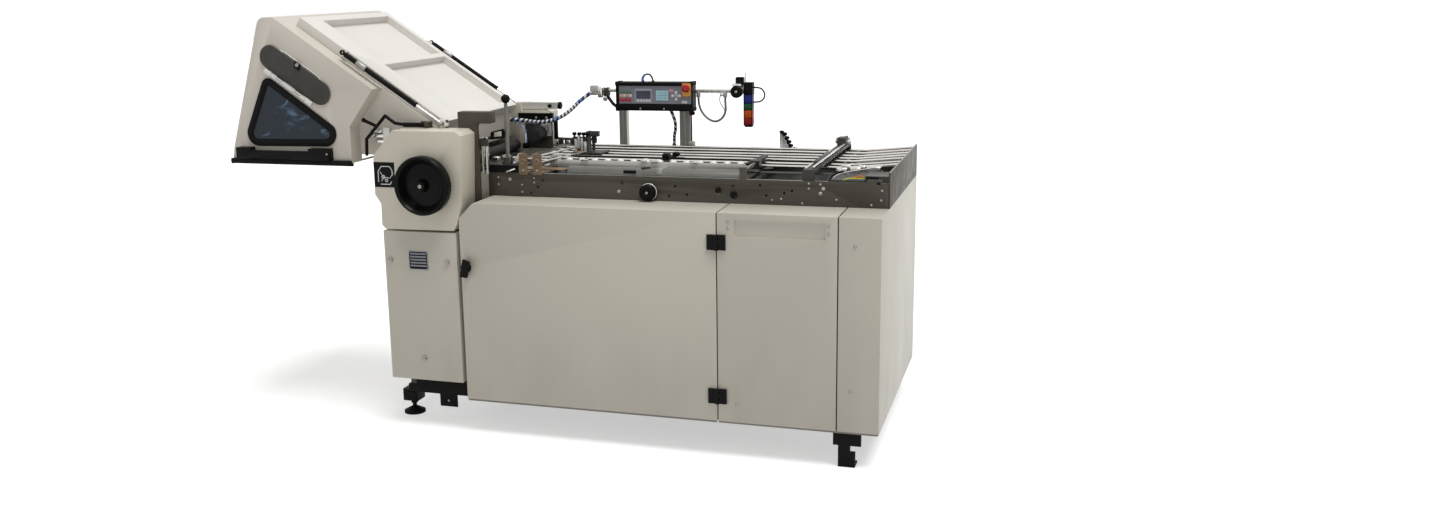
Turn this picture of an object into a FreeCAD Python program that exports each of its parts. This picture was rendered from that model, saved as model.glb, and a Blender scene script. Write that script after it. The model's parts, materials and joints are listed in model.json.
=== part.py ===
import FreeCAD, Part
import math
import os

V = FreeCAD.Vector

# ---------------------------------------------------------------------------
# Driving dimensions, millimetres. X runs along the machine from the fold unit
# (left) to the feed end (right), Y from the operator to the rear, Z up from
# the floor. X = 0 is the left edge of the main door, Y = 0 the panels' face.
# ---------------------------------------------------------------------------

# Cabinet
CABINET_LENGTH = 1481.0
CABINET_DEPTH = 936.0
FLOOR_GAP = 125.0            # floor to the underside of the panels
PANEL_HEIGHT = 720.0
LEDGE_DEPTH = 180.0
SHEET = 2.0
DOOR_LENGTH = 936.0
DOOR_CHAMFER_X = 55.0
DOOR_CHAMFER_Z = 55.0
MIDDLE_LENGTH = 400.0
PANEL_GAP = 4.0
FLANGE = 18.0
RUNNING = 0.05               # radial clearance of a shaft in its bore
BODY_GAP = 0.3               # gap between pieces that move past each other
DOOR_LIFT = 1.0              # the door's lower edge above the fixed panels'
NEAR_RETURN = 40.0           # the fixed panels' flanges reach this far back
REAR_RETURN = 60.0           # corner cover's return across the rear
RECESS_MARGINS = (57.0, 37.0)     # from the middle panel's left and right edges
RECESS_DROP = 22.0           # recess below the panels' top
RECESS_HEIGHT = 58.0
RECESS_DEPTH = 9.0
LOWER_LEFT = -303.0          # cover round the fold unit's foot
LOWER_RIGHT = -15.0
LOWER_TOP = 735.0
LOWER_BOTTOM = 183.0
PANEL_SCREW = 6.0            # head radii
RECESS_SCREW = 4.5
FRAME_SCREW = 4.0
FRAME_BIG_SCREW = 7.0
QUARTER_TURN = 11.0

# Base
RAIL_HEIGHT = 30.0
RAIL_WIDTH = 40.0
RAIL_WALL = 4.0
FOOT_RADIUS = 40.0
FOOT_SPINDLE = 8.0
FOOT_X = -302.0
FOOT_INSET = 150.0
FOOT_SOLE = 8.0
FOOT_CONE = 14.0
FOOT_NUT_RADIUS = 14.0
FOOT_NUT_LOW = 38.0
FOOT_NUT_HEIGHT = 10.0
FOOT_BLOCK = 60.0
FOOT_BLOCK_DROP = 43.0
APRON_SETBACK = 38.0         # from the lower cover's left side
TAB_LEFT = -170.0            # drilled tab under the front rail
TAB_WIDTH = 72.0
TAB_DROP = 47.0
TAB_HOLE = 3.5
STAND_LEFT = 1330.0
STAND_WIDTH = 93.0
STAND_THICK = 12.0
STAND_INSET = 20.0           # back of the stand's plate, behind the panels' face
STAND_ARM_INSET = 12.0
STAND_SHOULDER = 75.0
STAND_TOE = 54.0
STAND_LEG = (17.0, 74.0)     # the leg's edges from the stand's left
STAND_SOLE = 8.0
BASE_END_GAP = 10.0          # the base reaches this far left of the fold plates

# Door furniture
HINGE_OFFSET = 8.0           # hinge axis in front of the panels' face
HINGE_HEIGHT = 52.0
HINGE_LEAF = 24.0
HINGE_BARREL = 7.0
HINGE_PIN = 4.0
HINGE_LOW = 188.0
HINGE_HIGH = 720.0
LATCH_X = 22.0
LATCH_Z = 614.0
LATCH_SHAFT = 7.0
LATCH_BOSS = 18.0
LATCH_DEPTH = 12.0

# Table
FRAME_THICK = 10.0
FRAME_TOP = 930.0
FRAME_DROP = 45.0            # side frames reach this far below the ledge
FRAME_LEFT = 38.0
END_PLATE_THICK = 6.0
END_PLATE_TOP = 965.0
ROLLER_RADIUS = 17.0
ROLLER_JOURNAL = 6.0
ROLLER_Z = 905.0
ROLLER_X = (250.0, 550.0, 950.0)
ROLLER_END_GAP = 2.0
SHAFT_SETBACK = 1.0          # shaft ends inside the side frames' outer faces
FRAME_HOLES = ((899, 43, 12), (953, 57, 14))     # x, drop below the frame's top, radius
EAR_WIDTH = 50.0
EAR_INSET = 20.0
EAR_HEIGHT = 10.0
EAR_HOLE = 6.0
DRUM_RADIUS = 19.4
DRUM_LEFT_X = 122.0
DRUM_RIGHT_X = 1260.0
BELT_Y = 350.0
BELT_WIDTH = 40.0
BELT_THICK = 2.0
BEAM_LEFT = 62.0
BEAM_WIDTH = 36.0
BEAM_THICK = 12.0
BEAM_LIFT = 6.0              # the sheets pass under the beam
ROD_RADIUS = 5.0
ROD_Y = (420.0, 488.0, 579.0, 650.0, 720.0, 800.0, 880.0)
ROD_BEND_X = 1300.0
ROD_RISE = 16.0

# Ball ruler and its adjustment
RULER_LEFT = 209.0
RULER_LENGTH = 792.0
RULER_WIDTH = 24.0
RULER_THICK = 11.0
BALL_RADIUS = 9.0
BALL_PITCH = 50.0
BALL_COUNT = 14
SLIDE_BAR_RADIUS = 7.0
SLIDE_BAR_INSET = 16.0       # from each end of the ruler
SLIDE_BAR_Z = 957.0
SLIDE_BAR_END = 425.0
NUT_Y = 290.0
NUT_LENGTH = 25.0
KNOB_X = 650.0
KNOB_Z = 877.0
KNOB_RADIUS = 29.0
KNOB_LENGTH = 26.0
SCREW_RADIUS = 6.0

# Carriages and guard
GUARD_LEFT = 300.0
GUARD_LENGTH = 660.0
GUARD_THICK = 4.0
CROSS_LEFT = 1190.0
CROSS_WIDTH = 40.0
SENSOR_LEFT = 215.0
SENSOR_LENGTH = 115.0
SENSOR_HEIGHT = 84.0
SENSOR_BASE = 6.0
SENSOR_WALL = (45.0, 53.0)   # from the carriage's left end
SENSOR_HEAD = (53.0, 92.0)
SENSOR_HEAD_TALL = 20.0
SENSOR_EYE = 10.0
CARRIAGE_CLEAR = 9.0         # bar above the table rods
CARRIAGE_BAR = 12.0
CARRIAGE_ARM_Y = (300.0, 560.0)
CARRIAGE_HEAD_Y = (815.0, 868.0)
CARRIAGE_HEAD_TALL = 28.0

# Fold unit
FOLD_LEFT = -290.0
FOLD_RIGHT = 35.0
FOLD_PLATE_THICK = 14.0
FOLD_PLATE_Y = 112.0
FOLD_WIDTH = 648.0           # clear width between the two fold plates
FOLD_ROLLER_RADIUS = 20.0
FOLD_JOURNAL = 10.0
FOLD_ROLLER_GAP = 2.0
COLUMN_TOP = 1105.0
FOLD_PLATE_TOP = 1090.0
HEAD_BOTTOM = 1113.0
HEAD_TOP = 1153.0
HEAD_LEFT = -40.0
HEAD_RIGHT = 85.0
HEAD_DEPTH = 48.0
WHEEL_X = -112.0
WHEEL_Z = 910.0
WHEEL_RADIUS = 105.0
WHEEL_FRONT = 63.0           # rim's front face before the panels' face
WHEEL_BACK = 12.0            # hub's rear end before the panels' face
WHEEL_HUB = 22.0
CASING_WALL = 2.0
CASING_OUTLINE = [(-245, 1096), (-325, 1004), (-327, 865), (-305, 832), (-306, 755), (-292, 741),
                  (-23, 744), (-9, 765), (13, 838), (24, 1081), (2, 1096)]
MOTOR_X = 0.0
MOTOR_Z = 1000.0
MOTOR_RADIUS = 30.0
MOTOR_LENGTH = 84.0
MOTOR_FIN_PITCH = 9.0
MOTOR_FIN = 4.0
THROW_LEVER_Y = 250.0
THROW_LEVER_Z = 962.0
THROW_LEVER_TOP = 1176.0
THROW_BALL = 16.5
LEVER_PIN = 4.0
BENT_PIVOT_X = -158.0
BENT_Z = 1107.0
BENT_Y = 92.0
BENT_RADIUS = 6.0
BENT_PIN_LENGTH = 80.0
BENT_PATH = ((-281.0, 1112.0), (-319.0, 1138.0), (-401.0, 1052.0), (-404.0, 996.0))

# Hood
HOOD_NEAR = 60.0
HOOD_STEP = 70.0             # the narrow part's wall lies this far behind
HOOD_WALL = 3.0
SLOPE_DEG = 33.3
SLOPE_X = -739.0             # upper end of the slope
SLOPE_Z = 1494.0
HOOD_BOTTOM = 966.0
HOOD_LEFT = -957.0
HOOD_RIGHT = -120.0
HOOD_NARROW_BOTTOM = 990.0
SKIRT_TOP = 1018.0           # the hood's left wall leans in above this
SKIRT_STEP = 9.0
RIDGE_LEFT = -800.0
RIDGE_RADIUS = 34.0
STEP_S = 470.0               # end of the wide part, down the slope
STEP_LOW = (-449.0, 1100.0)
NARROW_START_S = 200.0
LID_START = 60.0             # along the slope from its upper end
LID_LENGTH = 682.0
LID_THICK = 34.0
LID_GAP = 1.0
LID_SIDE_GAP = 4.0           # lid inside the narrow part's walls
LID_PAN_DEPTH = 28.0
LID_PANS = ((30.0, 302.0), (327.0, 652.0))     # from the lid's upper end
LID_PAN_MARGINS = (115.0, 28.0)                # from the lid's near and far edges
LID_HINGE_RADIUS = 6.0
LID_HINGE_PIN = 3.0
LID_HINGE_OFF = 8.0
LID_HINGE_SETBACK = 7.0
LID_EAR = 30.0
LID_EAR_INSETS = (80.0, 110.0)                 # from the narrow part's near and far walls
HINGE_BLOCK = 10.0
MOUTH_MARGINS = (75.0, 45.0)                   # from the lid's ends
MOUTH_INSET = 30.0
WINDOW = [(-784, 1275), (-893, 1031), (-514, 1036), (-514, 1090)]
WINDOW_RADII = [20, 38, 38, 26]
WINDOW_LAP = 9.0             # the rubber rim laps this far over the hood's wall
WINDOW_RIM = 6.0
WINDOW_SHEET = 3.0
FLAP_START = 62.0            # flap's first centre, from the slope's upper end
FLAP_OFF = -130.0            # flap's centre line below the slope
FLAP_RADIUS = 43.0
FLAP_LENGTH = 238.0
FLAP_THICK = 4.5
FLAP_LAP = 10.0
FLAP_ROD = 3.0
FLAP_KNUCKLE = 6.0
FLAP_KNUCKLE_LENGTH = 30.0
FLAP_KNUCKLES = (60.0, 148.0)
GRIP_RIGHT = -524.0
GRIP_LEFT_GAP = 39.0
GRIP_LIFT = 12.0
GRIP_HEIGHT = 42.0
GRIP_REACH = 34.0
GRIP_BAR = 16.0
GRIP_ENDS = (62.0, 86.0)
SPRING_OFFSET = 31.0         # above the slope
SPRING_FRAME_S = 744.0
SPRING_LID_S = 284.0
SPRING_TUBE_S = (297.0, 622.0)
SPRING_ROD_S = 400.0         # inner end of the rod
SPRING_EYE = 10.0
SPRING_STUD = 5.0
SPRING_TUBE = 9.5
SPRING_ROD = 4.0
SPRING_Y = 105.0
BUCKLE_LENGTH = 600.0
BUCKLE_SHEET = 3.0
BUCKLE_GAP = 5.0
STOP_THICK = 4.0
STOP_PLACE = (320.0, 340.0)
BUCKLE_FROM_WHEEL = (-26.0, 34.0)

# Control panel on its rail
POST_1_X = 289.0
POST_1_WIDTH = 32.0
POST_2_X = 545.0
POST_2_WIDTH = 44.0
POST_DEPTH = 30.0
POST_SETBACK = 19.0          # posts' front before the rear side frame's front
POST_TOP = 1185.0
POST_GROOVE = 8.0
RAIL_ROD_RADIUS = 7.0
RAIL_ROD_SETBACK = 25.0      # rail's axis before the posts
RAIL_ROD_Z = 1165.0
RAIL_END_BOX = (26.0, 30.0, 38.0)
RAIL_DISC = 23.0
RAIL_DISC_INSET = 24.0
RAIL_ROD_LEFT = 207.0
RAIL_ROD_RIGHT = 818.0
PANEL_LEFT = 310.0
PANEL_WIDTH = 318.0
PANEL_BOTTOM = 1091.0
PANEL_TALL = 113.0
PANEL_DEPTH = 48.0
PANEL_WALL = 3.0
PANEL_SETBACK = 20.0         # from the panel's back to the rail's axis
CLAMP_X = (PANEL_LEFT + 62.0, PANEL_LEFT + PANEL_WIDTH - 21.0)
CLAMP_HALF = 12.0
CLAMP_WALL = 6.0
STOP_BUTTON_STEM = 8.0
STOP_BUTTON_STROKE_GAP = 6.0
STOP_BUTTON_RADIUS = 16.0
STOP_BUTTON_X = 605.0
STOP_BUTTON_Z = 1182.0
TOWER_WIDTH = 37.0
TOWER_BOTTOM = 1026.0
TOWER_TOP = 1200.0
GLAND_RADIUS = 8.5
GLAND_LENGTH = 21.0
GLAND_X = (508.0, 632.0, 741.0)     # cable glands under the rail
REAR_GLAND_X = 515.0         # gland on top of the rear side frame
REAR_GLAND_LENGTH = 16.0
REAR_GLAND_IN = 2.0          # its axis behind the frame's front face

# Cables: diameter
HARNESS_DIAMETER = 16.0
BRAID_DIAMETER = 13.0
LOOP_DIAMETER = 9.0
TOWER_LEAD_DIAMETER = 6.0

# ---------------------------------------------------------------------------
# Places worked out from the dimensions
# ---------------------------------------------------------------------------

PANEL_TOP = FLOOR_GAP + PANEL_HEIGHT
MIDDLE_LEFT = DOOR_LENGTH + PANEL_GAP
MIDDLE_RIGHT = MIDDLE_LEFT + MIDDLE_LENGTH
CORNER_LEFT = MIDDLE_RIGHT + PANEL_GAP
HINGE_X = DOOR_LENGTH + PANEL_GAP / 2
RAIL_BOTTOM = FLOOR_GAP - RAIL_HEIGHT
RAIL_INSET = FOLD_PLATE_Y - RAIL_WALL
FRAME_BOTTOM = PANEL_TOP - FRAME_DROP
FRAME_BACK = LEDGE_DEPTH + FRAME_THICK
FRAME_RIGHT = CABINET_LENGTH - END_PLATE_THICK
REAR_FRAME_Y = CABINET_DEPTH - SHEET - FRAME_THICK
BELT_INNER = DRUM_RADIUS + BODY_GAP
BELT_OUTER = BELT_INNER + BELT_THICK
DRUM_Z = ROLLER_Z + 1.0
BELT_TOP = DRUM_Z + BELT_OUTER
BELT_MIDDLE = BELT_Y + BELT_WIDTH / 2
BEAM_RIGHT = BEAM_LEFT + BEAM_WIDTH
BEAM_BOTTOM = FRAME_TOP + BEAM_LIFT
BEAM_TOP = BEAM_BOTTOM + BEAM_THICK
ROD_Z = BEAM_BOTTOM + BEAM_THICK / 2
RULER_BOTTOM = BELT_TOP + 2.4
RULER_TOP = RULER_BOTTOM + RULER_THICK
RULER_RIGHT = RULER_LEFT + RULER_LENGTH
BALL_Z = BELT_TOP + BODY_GAP + BALL_RADIUS
FOLD_INNER_FRONT = FOLD_PLATE_Y + FOLD_PLATE_THICK
FOLD_INNER_REAR = FOLD_INNER_FRONT + FOLD_WIDTH
FOLD_PLATE_REAR_Y = FOLD_INNER_REAR
FOLD_MIDDLE_Y = FOLD_INNER_FRONT + FOLD_WIDTH / 2
FOLD_OUTER_REAR = FOLD_PLATE_REAR_Y + FOLD_PLATE_THICK
ROLLER_PITCH = 2 * FOLD_ROLLER_RADIUS + FOLD_ROLLER_GAP
HOOD_FAR = 2 * FOLD_MIDDLE_Y - HOOD_NEAR
NARROW_NEAR = HOOD_NEAR + HOOD_STEP
NARROW_FAR = 2 * FOLD_MIDDLE_Y - NARROW_NEAR
POST_Y = REAR_FRAME_Y - POST_SETBACK
RAIL_ROD_Y = POST_Y - RAIL_ROD_SETBACK
SLIDE_BAR_X = (RULER_LEFT + SLIDE_BAR_INSET, RULER_RIGHT - SLIDE_BAR_INSET)
SHAFTS = [(x, ROLLER_Z) for x in ROLLER_X] + [(DRUM_LEFT_X, DRUM_Z), (DRUM_RIGHT_X, DRUM_Z)]
FOLD_SHAFTS = ((WHEEL_X, WHEEL_Z), (WHEEL_X, WHEEL_Z + ROLLER_PITCH), (WHEEL_X - ROLLER_PITCH, WHEEL_Z))
LEVER_PIN_X = BEAM_RIGHT - BEAM_WIDTH / 3
CROSS_RAIL_X = (FOLD_LEFT - BASE_END_GAP, FOLD_RIGHT - RAIL_WIDTH, 700.0, STAND_LEFT + 55)
UPRIGHT_X = (BEAM_LEFT, STAND_LEFT + 55)
LID_HINGE_S = LID_START - LID_HINGE_SETBACK
LID_EAR_Y = (NARROW_NEAR + LID_EAR_INSETS[0], NARROW_FAR - LID_EAR_INSETS[1])
FLAP_HINGE_OFF = FLAP_OFF - FLAP_RADIUS - 8.0
FLAP_HINGE_Y = HOOD_NEAR - 8.0
SLOPE = math.radians(SLOPE_DEG)
DOWN_X = math.cos(SLOPE)     # unit vector down the slope
DOWN_Z = -math.sin(SLOPE)
NARROW_END_S = (HOOD_RIGHT - SLOPE_X) / DOWN_X
ORIGIN_X = (HOOD_LEFT + CABINET_LENGTH) / 2
ORIGIN_Y = (CABINET_DEPTH - WHEEL_FRONT) / 2

# Screws as (x, z): the panels', the recess's, and the front side frame's by drop below its top.
PANEL_SCREWS = ((MIDDLE_LEFT + 66, FLOOR_GAP + 64), (CORNER_LEFT + 53, PANEL_TOP - 92),
                (CORNER_LEFT + 43, FLOOR_GAP + 142))
RECESS_SCREWS = ((MIDDLE_LEFT + 38, PANEL_TOP - 28), (MIDDLE_LEFT + 38, PANEL_TOP - 50),
                 (MIDDLE_RIGHT - 28, PANEL_TOP - 30), (MIDDLE_RIGHT - 28, PANEL_TOP - 55))
FRAME_SCREWS = ((76, 19), (77, 45), (169, 43), (169, 69), (217, 17), (217, 34), (1211, 9),
                (1211, 26), (1250, 11), (1117, 64), (1304, 61), (1454, 26), (1452, 58),
                (1189, 77), (1420, 75))
FRAME_BIG_SCREWS = ((537, 57), (1250, 42))
QUARTER_TURNS = ((LOWER_LEFT + 21, LOWER_TOP - 106), (LOWER_RIGHT - 39, LOWER_TOP - 106),
                 (LOWER_LEFT + 135, LOWER_BOTTOM + 82))

parts = {}


# ---------------------------------------------------------------------------
# Helpers
# ---------------------------------------------------------------------------

def box(x0, x1, y0, y1, z0, z1):
    return Part.makeBox(x1 - x0, y1 - y0, z1 - z0, V(x0, y0, z0))


def bar_x(x0, x1, y, z, radius):
    return Part.makeCylinder(radius, x1 - x0, V(x0, y, z), V(1, 0, 0))


def bar_y(y0, y1, x, z, radius):
    return Part.makeCylinder(radius, y1 - y0, V(x, y0, z), V(0, 1, 0))


def bar_z(z0, z1, x, y, radius):
    return Part.makeCylinder(radius, z1 - z0, V(x, y, z0), V(0, 0, 1))


def fuse(shapes):
    whole = shapes[0]
    if len(shapes) > 1:
        whole = whole.fuse(shapes[1:])
    return whole.removeSplitter()


def face_of(points):
    return Part.Face(Part.makePolygon(points + [points[0]]))


def prism_y(outline, y0, y1):
    """Outline of (x, z) pairs, extruded from y0 to y1."""
    return face_of([V(x, y0, z) for x, z in outline]).extrude(V(0, y1 - y0, 0))


def prism_x(outline, x0, x1):
    """Outline of (y, z) pairs, extruded from x0 to x1."""
    return face_of([V(x0, y, z) for y, z in outline]).extrude(V(x1 - x0, 0, 0))


def inset(outline, distance):
    """Outline of (x, z) pairs moved inwards by a distance."""
    wire = Part.makePolygon([V(x, 0, z) for x, z in outline + [outline[0]]])
    inner = wire.makeOffset2D(-distance, 2, False, False, False)
    if Part.Face(inner).Area > Part.Face(wire).Area:
        inner = wire.makeOffset2D(distance, 2, False, False, False)
    return [(vertex.X, vertex.Z) for vertex in inner.OrderedVertexes]


def rounded_face(outline, radii, y, grow=0.0):
    """Face at y inside an outline of (x, z) pairs with rounded corners, grown by a distance."""
    count = len(outline)
    corners = [V(x, y, z) for x, z in outline]
    edges = []
    ends = []
    for k in range(count):
        corner, radius = corners[k], radii[k]
        to_before = corners[k - 1].sub(corner).normalize()
        to_after = corners[(k + 1) % count].sub(corner).normalize()
        half = to_before.getAngle(to_after) / 2
        reach = radius / math.tan(half)
        a = corner.add(V(to_before).multiply(reach))
        b = corner.add(V(to_after).multiply(reach))
        bisector = to_before.add(to_after).normalize()
        middle = corner.add(bisector.multiply(radius / math.sin(half) - radius))
        edges.append(Part.Arc(a, middle, b).toShape())
        ends.append((a, b))
    for k in range(count):
        edges.insert(2 * k + 1, Part.LineSegment(ends[k][1], ends[(k + 1) % count][0]).toShape())
    wire = Part.Wire(edges)
    if grow:
        plain = Part.Face(wire).Area
        offset = wire.makeOffset2D(grow, 0, False, False, False)
        if (Part.Face(offset).Area > plain) != (grow > 0):
            offset = wire.makeOffset2D(-grow, 0, False, False, False)
        wire = offset
    return Part.Face(wire)


def window_prism(y0, y1, grow=0.0):
    return rounded_face(WINDOW, WINDOW_RADII, y0, grow).extrude(V(0, y1 - y0, 0))


def turned_y(profile, x, z):
    """Profile of (radius, y) pairs turned about the Y axis through (x, z)."""
    face = face_of([V(x + radius, y, z) for radius, y in profile])
    return face.revolve(V(x, 0, z), V(0, 1, 0), 360)


def mirrored(shape, y_plane):
    return shape.mirror(V(0, y_plane, 0), V(0, 1, 0))


def on_slope(s, off):
    """Point (x, z) at s down the hood's slope and off above it."""
    return (SLOPE_X + s * DOWN_X - off * DOWN_Z, SLOPE_Z + s * DOWN_Z + off * DOWN_X)


def slope_box(s0, s1, off0, off1, y0, y1):
    corners = [on_slope(s0, off0), on_slope(s1, off0), on_slope(s1, off1), on_slope(s0, off1)]
    return prism_y(corners, y0, y1)


def slope_bar(s0, s1, off, y, radius):
    x, z = on_slope(s0, off)
    return Part.makeCylinder(radius, s1 - s0, V(x, y, z), V(DOWN_X, 0, DOWN_Z))


def slope_pin(s, off, y0, y1, radius):
    x, z = on_slope(s, off)
    return bar_y(y0, y1, x, z, radius)


def slope_stadium(s0, s1, off, radius, y0, y1):
    return fuse([slope_box(s0, s1, off - radius, off + radius, y0, y1),
                 slope_pin(s0, off, y0, y1, radius),
                 slope_pin(s1, off, y0, y1, radius)])


# ---------------------------------------------------------------------------
# Base
# ---------------------------------------------------------------------------

def base_frame():
    rail_end = CROSS_RAIL_X[-1] + RAIL_WIDTH
    y0, y1 = RAIL_INSET, RAIL_INSET + RAIL_WIDTH
    z0, z1 = RAIL_BOTTOM, FLOOR_GAP
    channel = [(y0, z0), (y1, z0), (y1, z0 + RAIL_WALL), (y0 + RAIL_WALL, z0 + RAIL_WALL),
               (y0 + RAIL_WALL, z1 - RAIL_WALL), (y1, z1 - RAIL_WALL), (y1, z1), (y0, z1)]
    apron = box(LOWER_LEFT + APRON_SETBACK, LOWER_RIGHT, y0, y0 + RAIL_WALL, z1 - RAIL_WALL, LOWER_BOTTOM)
    arm = box(STAND_LEFT + STAND_ARM_INSET, STAND_LEFT + STAND_WIDTH - STAND_ARM_INSET,
              STAND_INSET, y0 + RAIL_WALL, z0, z1 - RAIL_WALL)
    front = fuse([prism_x(channel, FOLD_LEFT - BASE_END_GAP, rail_end), apron, arm])
    tab = box(TAB_LEFT, TAB_LEFT + TAB_WIDTH, y0, y0 + RAIL_WALL, z0 - TAB_DROP, z0 + RAIL_WALL)
    tab = tab.cut(bar_y(y0 - 1, y0 + RAIL_WALL + 1, TAB_LEFT + TAB_WIDTH / 2, z0 - TAB_DROP / 2, TAB_HOLE))
    pieces = [front, mirrored(front, CABINET_DEPTH / 2), tab]
    for left in CROSS_RAIL_X:
        section = [(left, z0), (left + RAIL_WIDTH, z0), (left + RAIL_WIDTH, z1), (left, z1),
                   (left, z1 - RAIL_WALL), (left + RAIL_WIDTH - RAIL_WALL, z1 - RAIL_WALL),
                   (left + RAIL_WIDTH - RAIL_WALL, z0 + RAIL_WALL), (left, z0 + RAIL_WALL)]
        pieces.append(prism_y(section, y1 - RAIL_WALL, CABINET_DEPTH - y1 + RAIL_WALL))
    for left in UPRIGHT_X:
        for y, side in ((FRAME_BACK, 1), (REAR_FRAME_Y, -1)):
            near, far = sorted((y, y + side * RAIL_WIDTH))
            outer = box(left, left + RAIL_WIDTH, near, far, FLOOR_GAP, PANEL_TOP - 3)
            hollow_y = (near + RAIL_WALL, far) if side > 0 else (near, far - RAIL_WALL)
            pieces.append(outer.cut(box(left + RAIL_WALL, left + RAIL_WIDTH, *hollow_y,
                                        FLOOR_GAP, PANEL_TOP)))
        for near, far in ((y1 - RAIL_WALL, FRAME_BACK + RAIL_WIDTH),
                          (CABINET_DEPTH - y1, CABINET_DEPTH - STAND_INSET)):
            pieces.append(box(left, left + RAIL_WIDTH, near, far, FLOOR_GAP - RAIL_WALL, FLOOR_GAP))
    block_low, spindle_bore = RAIL_BOTTOM - FOOT_BLOCK_DROP, FOOT_SPINDLE + RUNNING
    half = FOOT_BLOCK / 2
    for y in (FOOT_INSET, CABINET_DEPTH - FOOT_INSET):
        pieces.append(box(FOOT_X - half, FOOT_X + half, y - half, y + half,
                          block_low, RAIL_BOTTOM + RAIL_WALL))
    whole = fuse(pieces)
    for y in (FOOT_INSET, CABINET_DEPTH - FOOT_INSET):
        whole = whole.cut(bar_z(block_low - 1, FLOOR_GAP - RAIL_WALL - 1, FOOT_X, y, spindle_bore))
    return whole


def levelling_foot(y):
    sole = bar_z(0, FOOT_SOLE, FOOT_X, y, FOOT_RADIUS)
    pad = Part.makeCone(FOOT_RADIUS, FOOT_CONE, FOOT_CONE, V(FOOT_X, y, FOOT_SOLE))
    spindle = bar_z(FOOT_SOLE, RAIL_BOTTOM + 12, FOOT_X, y, FOOT_SPINDLE)
    corners = [V(FOOT_X + FOOT_NUT_RADIUS * math.cos(math.radians(60 * k)),
                 y + FOOT_NUT_RADIUS * math.sin(math.radians(60 * k)), FOOT_NUT_LOW) for k in range(6)]
    nut = face_of(corners).extrude(V(0, 0, FOOT_NUT_HEIGHT))
    return fuse([pad, sole, spindle, nut])


def hook_stand():
    left, right = STAND_LEFT, STAND_LEFT + STAND_WIDTH
    leg_left, leg_right = left + STAND_LEG[0], left + STAND_LEG[1]
    step = leg_right - STAND_LEG[0]
    outline = [(left, STAND_SHOULDER), (leg_left, STAND_SHOULDER), (leg_left, 0), (leg_right, 0),
               (leg_right, STAND_TOE), (step, STAND_TOE), (step, STAND_SHOULDER),
               (right, STAND_SHOULDER), (right, FLOOR_GAP), (left, FLOOR_GAP)]
    y0, y1 = STAND_INSET - STAND_THICK, STAND_INSET
    plate = prism_y(outline, y0, y1)
    sole = box(leg_left, leg_right, y0, y1 + RAIL_WIDTH, 0, STAND_SOLE)
    rib_left = leg_left + RAIL_WIDTH / 2
    rib = box(rib_left, rib_left + STAND_SOLE, y1, y1 + RAIL_WIDTH - RAIL_WALL, STAND_SOLE,
              STAND_SHOULDER - 5)
    return fuse([plate, sole, rib])


def make_base():
    parts["base_frame"] = base_frame()
    front = hook_stand()
    parts["hook_stands"] = Part.makeCompound([front, mirrored(front, CABINET_DEPTH / 2)])
    parts["foot_front"] = levelling_foot(FOOT_INSET)
    parts["foot_rear"] = levelling_foot(CABINET_DEPTH - FOOT_INSET)


# ---------------------------------------------------------------------------
# Cabinet panels and door furniture
# ---------------------------------------------------------------------------

def tray_panel(x0, x1, z0, top, ledge_back, flange):
    """Folded sheet: front face, side flanges, bottom flange and top ledge."""
    face = box(x0, x1, 0, SHEET, z0, top)
    left = box(x0, x0 + SHEET, 0, flange, z0, top)
    right = box(x1 - SHEET, x1, 0, flange, z0, top)
    bottom = box(x0, x1, 0, flange, z0, z0 + SHEET)
    ledge = box(x0, x1, 0, ledge_back, top - SHEET, top)
    return fuse([face, left, right, bottom, ledge])


def main_door():
    door = tray_panel(0, DOOR_LENGTH, FLOOR_GAP + DOOR_LIFT, PANEL_TOP, LEDGE_DEPTH - SHEET, FLANGE)
    corner_x, corner_z = DOOR_CHAMFER_X, DOOR_CHAMFER_Z
    chamfer = prism_y([(-1, PANEL_TOP - corner_z), (corner_x, PANEL_TOP + 0.5),
                       (-1, PANEL_TOP + 0.5)], -1, LEDGE_DEPTH)
    door = door.cut(chamfer)
    slope_length = math.hypot(corner_x + 1, corner_z + 0.5)
    nx, nz = corner_z / slope_length * SHEET, corner_x / slope_length * SHEET
    strip = prism_y([(0, PANEL_TOP - corner_z), (corner_x, PANEL_TOP - 1),
                     (corner_x + nx, PANEL_TOP - 1 - nz), (nx, PANEL_TOP - corner_z - nz)], 0, FLANGE)
    door = fuse([door, strip])
    return door.cut(bar_y(-1, SHEET + 1, LATCH_X, LATCH_Z, LATCH_SHAFT + RUNNING))


def door_latch():
    shaft = bar_y(-LATCH_DEPTH, LATCH_DEPTH, LATCH_X, LATCH_Z, LATCH_SHAFT)
    boss = bar_y(-LATCH_DEPTH, -BODY_GAP, LATCH_X, LATCH_Z, LATCH_BOSS)
    wing = prism_y([(LATCH_X - 18, LATCH_Z - 30), (LATCH_X + 8, LATCH_Z - 33),
                    (LATCH_X + 20, LATCH_Z + 24), (LATCH_X - 4, LATCH_Z + 33)],
                   -2 * LATCH_DEPTH, -LATCH_DEPTH)
    tongue = box(LATCH_X - 16, LATCH_X + 8, LATCH_DEPTH - 4, LATCH_DEPTH, LATCH_Z - 8, LATCH_Z + 8)
    return fuse([shaft, boss, wing, tongue])


def hinge_barrel(z0, z1, leaf_x):
    """Barrel about the hinge axis with a web towards its leaf."""
    barrel = bar_z(z0, z1, HINGE_X, -HINGE_OFFSET, HINGE_BARREL)
    x0, x1 = sorted((HINGE_X, leaf_x))
    web = box(x0, x1, -HINGE_OFFSET, -2, z0, z1)
    return [barrel, web]


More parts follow.
